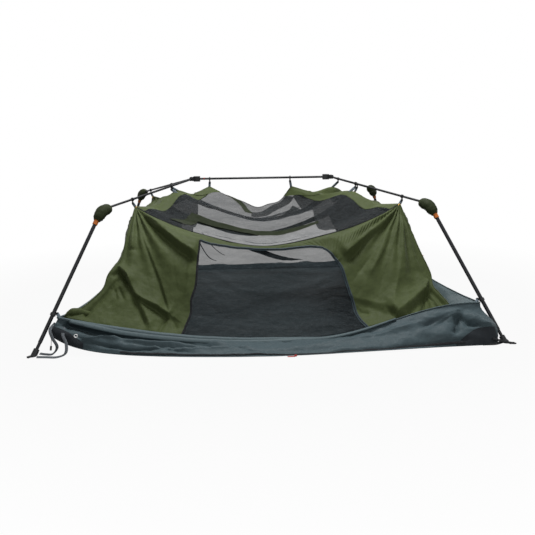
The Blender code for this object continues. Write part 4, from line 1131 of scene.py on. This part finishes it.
def folded_front():
    """The front with its folds: two deep rolls from the front corners to the door, and slack below."""
    grid = front_grid()
    normals = grid_normals(grid, (0, -1, 0.4))
    flat = grid[..., [0, 2]]
    lift = creases(flat, FRONT_FOLDS) + fans(flat, "front_panel") + rumples(grid, "front_panel")
    columns = shares_of(grid)[1]
    rows = np.arange(grid.shape[0])[:, None]
    in_band = step_in(1 - np.abs(rows - FRONT_BAND / 2) / (FRONT_BAND / 2))
    gathers = np.sin(columns * 420 + np.sin(17 * columns) * 2.0)
    lift += in_band * 0.0035 * gathers * (0.25 + 0.75 * step_in((columns - 0.3) / 0.5))
    first, last = DOOR_FIRST / FRONT_COLUMNS, DOOR_LAST / FRONT_COLUMNS
    in_door = step_in((columns - first + 0.005) / 0.03) * step_in((last + 0.005 - columns) / 0.03)
    calm = 1 - 0.8 * in_door * step_in((rows - FRONT_BAND) / 4)
    return pushed(grid, normals, lift * held_edges(grid, 0.02, 0.035) * calm), normals


def door_outline():
    """The door's head and right side as (row, column) on the front's grid, with a wide round corner."""
    path = [(FRONT_BAND, column) for column in range(DOOR_FIRST, int(ROUND_COLUMN))]
    for turn in np.linspace(0, math.pi / 2, 25):
        path.append((ROUND_ROW - ROUND * math.cos(turn), ROUND_COLUMN + ROUND * math.sin(turn)))
    return path + [(row, DOOR_LAST) for row in range(int(ROUND_ROW) + 1, FRONT_BAND + FRONT_DROP + 1)]


def round_corner(grid):
    """Moves the points next to the door's round corner onto it, and says which cells are the door."""
    cells = np.zeros((grid.shape[0] - 1, grid.shape[1] - 1), bool)
    cells[FRONT_BAND:, DOOR_FIRST:DOOR_LAST] = True
    source = grid.copy()
    for j in range(FRONT_BAND, int(ROUND_ROW) + 1):
        for i in range(int(ROUND_COLUMN), DOOR_LAST + 1):
            down, across = j - ROUND_ROW, i - ROUND_COLUMN
            if i < DOOR_LAST and math.hypot(down + 0.5, across + 0.5) > ROUND:
                cells[j, i] = False
            reach = math.hypot(down, across) / ROUND
            if reach and abs(reach - 1) * ROUND < 0.6:
                grid[j, i] = at_index(source, ROUND_ROW + down / reach, ROUND_COLUMN + across / reach)
    return cells


def near_door():
    """1 well inside the door and 0 at its round corner."""
    down = np.arange(FRONT_DROP + 1)[:, None] - ROUND
    across = np.arange(DOOR_FIRST, DOOR_LAST + 1)[None, :] - ROUND_COLUMN
    inside = step_in((1 - np.hypot(down, across) / ROUND) / 0.15)
    return np.where((down < 0) & (across > 0), inside, 1.0)


def front_pieces():
    grid, normals = folded_front()
    door_cells = round_corner(grid)
    wall = mesh_object("front_panel", grid, ~door_cells)
    finish_with(thicken(wall), OLIVE)
    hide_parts("front_wall")
    flatten(wall)
    door = grid[FRONT_BAND:, DOOR_FIRST : DOOR_LAST + 1]
    out = normals[FRONT_BAND:, DOOR_FIRST : DOOR_LAST + 1]
    waves = rumples(door, "door_net") + creases(door[..., [0, 2]], DOOR_FOLDS)
    waves *= held_edges(door, 0.05, 0.04) * near_door()
    door = pushed(door, out, waves * (0.4 + 0.8 * shares_of(door)[0]))
    screen = mesh_object("door_net", door, door_cells[FRONT_BAND:, DOOR_FIRST:DOOR_LAST])
    finish_with(screen, NET_DOOR)
    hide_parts("mesh_door")
    flatten(screen)
    door_bindings(grid, normals)


def door_bindings(grid, normals):
    """The zip tape over the head and down the right edge, and the dark binding of the left edge."""
    outline = door_outline()
    path = np.array([at_index(grid, *spot) for spot in outline])
    out = np.array([at_index(normals, *spot) for spot in outline])
    flatten(ribbon("door_zip_tape", path + out * 0.0035, 0.022, 0.003, out, BINDING))
    flatten(ribbon("door_zip_coil", path + out * 0.0065, 0.006, 0.003, out, BLACK_TAPE))
    path = grid[FRONT_BAND:, DOOR_FIRST]
    out = normals[FRONT_BAND:, DOOR_FIRST]
    flatten(ribbon("door_edge_binding", path + out * 0.003, 0.014, 0.003, out, BLACK_TAPE))


def roof_pieces():
    """The net roof: front and back slopes that meet at the slack ridge seam, with olive borders."""
    eave, ridge, back = (spline(line, ROOF_COLUMNS) for line in (FRONT_TOP, RIDGE_SEAM, BACK_TOP))
    front_left = hip_line(["corner_fl", "mid_fl", "ridge_left"], ROOF_HALF)
    front_right = hip_line(["corner_fr", "mid_fr", "ridge_right"], ROOF_HALF)
    back_left = hip_line(["ridge_left", "mid_bl", "corner_bl"], ROOF_HALF)
    back_right = hip_line(["ridge_right", "mid_br", "corner_br"], ROOF_HALF)
    slopes = {
        "front": coons(eave, ridge, front_left, front_right),
        "back": coons(ridge, back, back_left, back_right),
    }
    for name, width in (("front", 0.15), ("back", 0.29)):
        grid = slopes[name]
        v, u = shares_of(grid)
        lift = 0.012 * np.sin(math.tau * 2.5 * v + 1.4 * np.sin(math.pi * u))
        lift = lift + rumples(grid, "roof_net_" + name)
        grid[..., 2] += lift * held_edges(grid, 0.05, 0.06)
        border = np.zeros((grid.shape[0] - 1, grid.shape[1] - 1), bool)
        border[:, :BORDER_ENDS] = border[:, -BORDER_ENDS:] = True
        if name == "back":
            border[-BORDER_BACK:] = True
        netting = mesh_object("roof_net_" + name, grid, ~border)
        finish_with(netting, NET_ROOF)
        edge = mesh_object("roof_border_" + name, grid, border)
        finish_with(thicken(edge), OLIVE)
        if name == "front":
            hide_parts("roof_mesh")
        for piece in (netting, edge):
            flatten(piece)
    return slopes


def side_piece(name, node, keys, eave, sill, outward):
    """A side wall with its hip: folds hang from the corners and gather at the foot."""
    front, back, ridge = keys
    top_front = hip_line(["corner_" + front, "mid_" + front, ridge], SIDE_COLUMNS // 2)
    top_back = hip_line([ridge, "mid_" + back, "corner_" + back], SIDE_COLUMNS // 2)
    top = np.concatenate([top_front, top_back[1:]])
    ends = (peak("corner_" + front), peak("corner_" + back))
    starts = [end.lerp(Vector(SEAM[key][0]), EAVE_SHARE[key]) for end, key in zip(ends, (front, back))]
    middle = spline([starts[0], *eave, starts[1]], SIDE_COLUMNS)
    left = spline([starts[0], *SEAM[front], sill[0]], SIDE_DROP)
    right = spline([starts[1], *SEAM[back], sill[-1]], SIDE_DROP)
    lower = coons(middle, spline(sill, SIDE_COLUMNS), left, right)
    lower = billow(lower, (outward, 0, 0.3), 6, 0.030)
    grid = np.concatenate([rows_between(top, middle, np.arange(SIDE_HIP) / SIDE_HIP), lower])
    normals = grid_normals(grid, (outward, 0, 0.3))
    flat = grid[..., [1, 2]]
    lift = fans(flat, name) + rumples(grid, name)
    rows = np.arange(grid.shape[0])[:, None]
    low = step_in((rows - 0.55 * grid.shape[0]) / (0.45 * grid.shape[0]))
    columns = shares_of(grid)[1]
    lift += low * 0.012 * np.sin(columns * 150 + 3 * np.sin(columns * 21))
    made = mesh_object(name, pushed(grid, normals, lift * held_edges(grid, 0.03, 0.05)))
    finish_with(thicken(made), OLIVE)
    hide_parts(node)
    flatten(made)


def back_pieces():
    """The back: a wide net window in an olive surround, and straps behind it."""
    left = spline([peak("corner_bl"), *SEAM["bl"], SILL_BACK[0]], BACK_ROWS)
    right = spline([peak("corner_br"), *SEAM["br"], SILL_BACK[-1]], BACK_ROWS)
    grid = coons(spline(BACK_TOP, BACK_COLUMNS), spline(SILL_BACK, BACK_COLUMNS), left, right)
    grid = billow(grid, (0, 0.8, 0.3), 4, 0.025)
    normals = grid_normals(grid, (0, 1, 0.3))
    flat = grid[..., [0, 2]]
    lift = fans(flat, "back_panel") + rumples(grid, "back_panel")
    grid = pushed(grid, normals, lift * held_edges(grid, 0.05, 0.05))
    window = np.zeros((grid.shape[0] - 1, grid.shape[1] - 1), bool)
    window[WINDOW_TOP:, WINDOW_LEFT:WINDOW_RIGHT] = True
    netting = mesh_object("back_net", grid, window)
    finish_with(netting, NET_BACK)
    surround = mesh_object("back_panel", grid, ~window)
    finish_with(thicken(surround), OLIVE)
    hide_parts("back_wall")
    for piece in (netting, surround):
        flatten(piece)
    for k, (upper, lower) in enumerate(BACK_STRIPS):
        strap = strip_on(f"back_strap_{k}", grid, upper, lower, (0, -0.004, 0))
        flatten(finish_with(strap, BLACK_TAPE))
    down = slice(WINDOW_TOP, None)
    rim = [(WINDOW_TOP, slice(WINDOW_LEFT, WINDOW_RIGHT + 1)), (down, WINDOW_LEFT), (down, WINDOW_RIGHT)]
    for k, cells in enumerate(rim):
        path, out = grid[cells] + normals[cells] * 0.002, normals[cells]
        flatten(ribbon(f"back_window_tape_{k}", path, 0.014, 0.0025, out, BLACK_TAPE))


def seam_tapes(slopes):
    """Bound seams along the eaves, the ridge and the corners, the doubled net of the roof with its painted
    shade, and olive strips, some of them painted shade.
    """
    for name, path, width, out in (
        ("front_eave", spline(FRONT_TOP, 90), 0.008, (0, -0.3, 1)),
        ("back_eave", spline(BACK_TOP, 90), 0.010, (0, 0.3, 1)),
        ("ridge", slopes["front"][-1], 0.012, (0, 0, 1)),
    ):
        flatten(ribbon("seam_" + name, path, width, 0.004, out, BLACK_TAPE))
    for key, (sx, sy) in CORNERS.items():
        path = spline([peak("corner_" + key), *SEAM[key], SILL_END[key]], 60)
        flatten(ribbon("seam_corner_" + key, path, 0.010, 0.003, (sx, sy, 0.3), OLIVE))
    # The net strips are darkened partly as painted shade, and the dark olive strips are painted shade
    for kind, strips, paint, slot, above in (
        ("net", DOUBLE_NET_AND_SHADE, NET_DOUBLE_AND_SHADE, "black_mesh", 0.003),
        ("olive", OLIVE_STRIPS, OLIVE, "olive_cloth", 0.007),
        ("dark", SHADE_STRIPS, OLIVE_PAINTED_SHADE, "olive_cloth", 0.009),
    ):
        for k, (slope, upper, lower) in enumerate(strips):
            piece = strip_on(f"roof_strip_{kind}_{k}", slopes[slope], upper, lower, (0, 0, above))
            flatten(finish_with(piece, paint))


# Tub and sill


def rim_height(side, t):
    """How high the tub's top edge is at t along a side."""
    low = TUB[side]["mid"]
    high = TUB[side]["ends"][0 if t < 0 else 1]
    if side == "front" and t > 0:
        return low + (high - low) * float(step_in((t - 0.2) / 0.75))
    return low + (high - low) * abs(t) ** TUB[side]["rise"]


def tub_edge(side, t):
    """Lip and top edge of the tub at t from -1 to 1 along a side."""
    bow = 1 - t * t
    lip = TUB_HALF + TUB[side]["lip"] * bow**0.75
    inset = TUB_HALF - 0.03
    turn = Matrix.Rotation(TUB[side]["turn"], 3, "Z")
    lip_edge = turn @ Vector((t * (TUB_HALF + 0.01), -lip, 0.004 + 0.012 * abs(t)))
    top_edge = turn @ Vector((t * inset, -inset + 0.01 * bow, rim_height(side, t)))
    for key, (shift, near) in LIP_SHIFT.items():
        sx, sy = CORNERS[key]
        if lip_edge.x * sx > 0 and lip_edge.y * sy > 0:
            lip_edge += Vector(shift) * abs(t) ** near
    return lip_edge, top_edge


def tub():
    """The groundsheet with its slack skirt; the fine mesh has the skirt's creases."""
    edges = []
    for side, spec in TUB.items():
        edges += [tub_edge(side, -1 + 2 * k / spec["steps"]) for k in range(spec["steps"])]
    lip, top = (np.array([edge[k] for edge in edges]) for k in range(2))
    centre = np.array([0.0, 0.0, GROUND])
    reach = lip * np.array([1, 1, 0]) + centre
    inner = rows_between(centre, reach, np.linspace(0.02, 0.93, 46))
    inner[..., 2] = GROUND + np.abs(rumples(inner, "tub_floor")) * 0.8
    edge = rows_between(inner[-1], lip, (0.4, 0.8))
    share = np.linspace(0, 1, SKIRT_ROWS)
    skirt = rows_between(lip, top, share)
    drop = np.repeat(1 - share[:, None], skirt.shape[1], axis=1)
    normals = grid_normals(skirt, (0, 0, 1))
    lift = 0.016 * np.sin(math.pi * drop**1.3)
    front = slice(0, TUB["front"]["steps"])
    lift[:, front] += creases(np.stack([skirt[:, front, 0], drop[:, front]], axis=2), SKIRT_FOLDS)
    lift += rumples(skirt, "tub_skirt")
    weight = np.clip(np.minimum(drop * 8 + 0.10, (1 - drop) * 8 + 0.05), 0, 1)
    skirt = pushed(skirt, normals, lift * weight)
    skirt[..., 2] = np.maximum(skirt[..., 2], GROUND)
    grid = np.concatenate([inner, edge, skirt])
    made = mesh_object("tub_cloth", grid, closed=True)
    close_over(made, range(grid.shape[1]))
    made.data.shade_smooth()
    finish_with(thicken(made, TUB_CLOTH), SLATE)
    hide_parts("floor_tub")
    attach(made, "base")
    tub_trim(skirt, normals)


def tub_trim(skirt, normals):
    """The rolled top edge and the band below it, in a lighter slate as painted light; the zip along the
    front lip; and patches of painted shade on the front corners.
    """
    steps = TUB["front"]["steps"]
    top = skirt[-1]
    rim = np.concatenate([top, top[:2]]) + np.array([0, 0, 0.004])
    along = np.arange(len(rim)) / steps
    # The roll and the band below it are the lighter slate: painted light
    roll = tube("tub_rim_roll", rim, np.interp(along, *RIM_ROLL), SLATE_PAINTED_LIGHT, sides=10)
    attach(roll, "base")
    part = slice(int(RIM_BAND[0][0] * steps), int(RIM_BAND[0][-1] * steps))
    wide = np.interp(along[part], *RIM_BAND)[:, None]
    band = top[part] + np.array([0, -0.35, -0.25]) * wide + np.array([0, -0.004, 0.012])
    band = ribbon("tub_rim_band", band, wide, 0.012, (0, -0.62, 0.78), SLATE_PAINTED_LIGHT)
    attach(band, "base")
    inner_fold()
    part = slice(int(LIP_ZIP[0] * steps), int(LIP_ZIP[1] * steps))
    line, out = skirt[3, part] + normals[3, part] * 0.003, normals[3, part]
    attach(ribbon("lip_zip_tape", line, 0.017, 0.003, out, BLACK_TAPE), "base")
    # Patches of painted shade on the skirt's front corners
    front = skirt[::-1, : steps + 1] + normals[::-1, : steps + 1] * 0.005
    for key, (upper, lower) in TUB_SHADE_PATCHES.items():
        patch = strip_on("tub_shade_patch_" + key, front, upper, lower, (0, 0, 0))
        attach(finish_with(patch, SLATE_PAINTED_SHADE), "base")


def inner_fold():
    """The right side's slack, which lies inward from its top edge towards the wall's foot; it is in the
    lighter slate, as painted light.
    """
    outer = np.array([tub_edge("right", t)[1] for t in np.linspace(-0.985, 0.55, 90)])
    foot = spline(SILL_RIGHT, 400)
    inner = np.array([foot[np.abs(foot[:, 1] - y).argmin()] for y in outer[:, 1]])
    inner += np.array([0.014, 0, -0.004])
    share = np.linspace(0, 1, 12)
    grid = rows_between(outer, inner, share)
    bow = np.sin(math.pi * share)[:, None]
    grid[..., 2] += 0.012 * bow + rumples(grid, "tub_inner_fold") * bow
    made = mesh_object("tub_inner_fold", grid)
    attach(finish_with(thicken(made), SLATE_PAINTED_LIGHT), "base")


def sill():
    """The slack foot of the walls inside the tub, which draws up as the legs are drawn out."""
    steps = 60
    sides = [SILL_FRONT, SILL_RIGHT, SILL_BACK[::-1], SILL_LEFT[::-1]]
    loop = np.concatenate([spline(side, steps)[:-1] for side in sides])
    high = loop * np.array([0.999, 0.999, 1.0]) + np.array([0, 0, 0.001])
    low = loop * np.array([0.955, 0.955, 0.0]) + np.array([0, 0, 0.012])
    share = np.linspace(0, 1, 12)
    grid = rows_between(high, low, share)
    outward = loop * np.array([1, 1, 0])
    outward /= np.linalg.norm(outward, axis=1, keepdims=True)
    grid = pushed(grid, outward, rumples(grid, "wall_foot") * np.sin(math.pi * share)[:, None])
    columns = np.arange(len(loop)) / steps
    netted = (columns > 2 / 7) & (columns < 5 / 7)
    behind = (columns >= 2) & (columns < 3)
    # The back part stands for the tub's slate back wall, in the darker binding colour as painted shade
    for name, mask, paint, slot, cut in (
        ("wall_foot", ~netted & ~behind, OLIVE, "olive_cloth", (7.2, 0.14)),
        ("back_foot", behind, BINDING, "slate_cloth", (2.8, 0.08)),
        ("door_foot", netted, NET_DOOR, "black_mesh", (0.95, 0.08)),
    ):
        cells = np.repeat(mask[None], grid.shape[0] - 1, axis=0)
        made = finish_with(mesh_object(name, grid, cells, closed=True), paint)
        if name == "wall_foot":
            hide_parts("wall_sill")
        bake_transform(made)


# Padded elbow covers, webbing and small things


def elbow_pad(corner):
    """A stuffed sleeve over an elbow, drawn in at both ends and creased on its inner side."""
    centre = corner.elbow.lerp(corner.fold_pin, 0.5)
    inward = centre - corner.elbow
    route = [
        corner.elbow - corner.pole_dir * 0.092,
        corner.elbow - corner.pole_dir * 0.050 + inward * 0.6,
        centre,
        corner.down(0.044) + inward * 0.4,
        corner.down(0.090),
    ]
    path = spline(route, PAD_STEPS)
    along = np.linspace(0, 1, PAD_STEPS + 1)
    sizes = np.interp(along, np.linspace(0, 1, len(PAD_RADII)), PAD_RADII)
    rings = []
    for k, (point, direction, size) in enumerate(zip(path, np.gradient(path, axis=0), sizes)):
        radii = []
        for turn in [math.tau * i / PAD_SIDES for i in range(PAD_SIDES)]:
            spot = Vector((0.9 * k, 7 * math.cos(turn), 7 * math.sin(turn)))
            swell = 1 + 0.055 * noise.fractal(spot * 0.22 + Vector((2, 0, 0)), 0.9, 2.0, 3)
            inner = max(0.0, -math.cos(turn - math.pi / 2)) ** 2
            swell -= 0.10 * inner * math.cos(math.tau * k / 9) ** 2
            to_end = min(k, PAD_STEPS - k) / 5
            if to_end < 1:
                swell += (1 - to_end) * 0.05 * math.sin(9 * turn)
            radii.append(size * swell)
        rings.append(ring_of(point, direction, corner.bend_axis, radii))
    made = mesh_object("elbow_pad_" + corner.key, np.array(rings), closed=True)
    cap_ends(made, PAD_SIDES, len(path))
    made.data.shade_smooth()
    finish_with(made, OLIVE_DARK)
    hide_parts("elbow_cover_" + corner.key)
    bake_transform(made)


def hook_tab(name, start, end, grommet=False):
    """A webbing strap from a pole's hook down to the canopy's peak, with its snap and grommet."""
    down = (end - start).normalized()
    face = (Vector((0, -1, 0)) - down * down.dot(Vector((0, -1, 0)))).normalized()
    lower = end + down * 0.020
    for k, side in enumerate((-1, 1)):
        bow = face * (0.004 * side)
        quarter, foot = start.lerp(lower, 0.4) + bow, start.lerp(lower, 0.8) + bow * 0.6
        path = spline([start, quarter, foot, lower + bow * 0.4], 14)
        flatten(ribbon(f"{name}_{k}", path, TAB_WIDTH, 0.0016, face, SLATE_WEB))
    ends = [start - down * 0.004, start + down * 0.014]
    flatten(tube(name + "_snap", ends, 0.0075, PLASTIC))
    if grommet:
        at = end + down * 0.014 + face * 0.006
        flatten(ring_piece(name + "_grommet", at, face, 0.0085, 0.0030, BRASS))


def tabs():
    for key, corner in CORNER.items():
        for kind, share in (("corner", CORNER_HOOKS[key]), ("mid", MID_HOOKS[key])):
            hook = corner.along(share) - Vector((0, 0, ROOF_POLE_R + HOOK_DROP))
            hook_tab(f"tab_{kind}_{key}", hook, peak(f"{kind}_{key}"), kind == "corner")
    for side, x in RIDGE_HOOKS.items():
        hook = Vector((x, 0, HUB_PIN.z - RIDGE_R - HOOK_DROP))
        hook_tab("tab_ridge_" + side, hook, peak("ridge_" + side))


def leg_clip_straps():
    """Short webbing from each leg clip to the tub's corner."""
    for key, corner in CORNER.items():
        sx, sy = CORNERS[key]
        inward = -Vector((corner.leg_dir.x, corner.leg_dir.y, 0)).normalized()
        start = corner.down(CLIP_AT[key]) + inward * 0.034
        end = Vector((sx * (TUB_HALF - 0.045), sy * (TUB_HALF - 0.045), CLIP_STRAP_END[key]))
        path = spline([start, start.lerp(end, 0.5) - Vector((0, 0, 0.004)), end], 12)
        strap = ribbon("clip_strap_" + key, path, 0.022, 0.002, (0, sy, 0.7), SLATE_WEB)
        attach(strap, "leg_lower_" + key)


def guy_strap(name, node, points):
    """A loose guy strap: flat tape along its route."""
    path = spline(points, 60)
    lying = step_in((0.10 - path[:, 2]) / 0.08)[:, None]
    face = np.array([0.1, -1.0, 0.2]) * (1 - lying) + np.array([0.0, -0.45, 0.9]) * lying
    made = ribbon(name, path, STRAP_WIDTH, 0.0022, face, GREY_WEB)
    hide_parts(node)
    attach(made, "base")


def small_parts():
    """The ridge pole's mark, the front corners' cord, ring, peg loops and rolled slack, and a seam tag."""
    mark = tube("ridge_mark", RIDGE_MARK, RIDGE_R + 0.0006, RED_WEB, sides=16)
    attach(mark, "top_frame")
    for k, (points, radius, paint, slot) in enumerate((
        (CORNER_CORD, 0.0016, BLACK_TAPE, "grey_webbing"),
        (TOGGLE, 0.0065, PLASTIC, "black_plastic"),
    )):
        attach(tube(f"corner_cord_{k}", spline(points, 24), radius, paint, sides=8), "base")
    buckle = ring_piece("corner_buckle", BUCKLE_AT, (0.2, -1, 0.5), 0.010, 0.0028, METAL)
    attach(buckle, "base")
    path = spline(CORNER_BUNDLE, 40)
    share = np.linspace(0, 1, len(path))
    size = np.interp(share, np.linspace(0, 1, len(BUNDLE_RADII)), BUNDLE_RADII)
    size = size * (1 + 0.10 * np.sin(26 * share) * np.sin(math.pi * share))
    bundle = tube("corner_bundle", path, size, OLIVE, sides=20, squeeze=0.85)
    flatten(bundle)
    for k, points in enumerate(PEG_LOOPS):
        path = spline(points, 40)
        loop = ribbon(f"peg_loop_{k}", path, 0.020, 0.0025, (0.1, -0.6, 0.8), BLACK_TAPE)
        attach(loop, "base")
    flatten(ribbon("seam_tag", SEAM_TAG, 0.010, 0.002, (0, -1, 0.3), ORANGE))


# Build

camera()
world()
for name, lamp in LAMPS.items():
    area_light(name, **lamp)
floor()
guy_strap("guy_strap_outer", "corner_strap_outer", STRAP_A)
guy_strap("guy_strap_inner", "corner_strap_inner", STRAP_B)
finish_frame()
front_pieces()
roof_slopes = roof_pieces()
side_piece("left_panel", "left_wall", ("fl", "bl", "ridge_left"), LEFT_EAVE, SILL_LEFT, -1)
side_piece("right_panel", "right_wall", ("fr", "br", "ridge_right"), RIGHT_EAVE, SILL_RIGHT, 1)
back_pieces()
seam_tapes(roof_slopes)
tub()
sill()
for key in CORNERS:
    elbow_pad(CORNER[key])
tabs()
leg_clip_straps()
small_parts()

bpy.context.scene.view_settings.view_transform = "Standard"
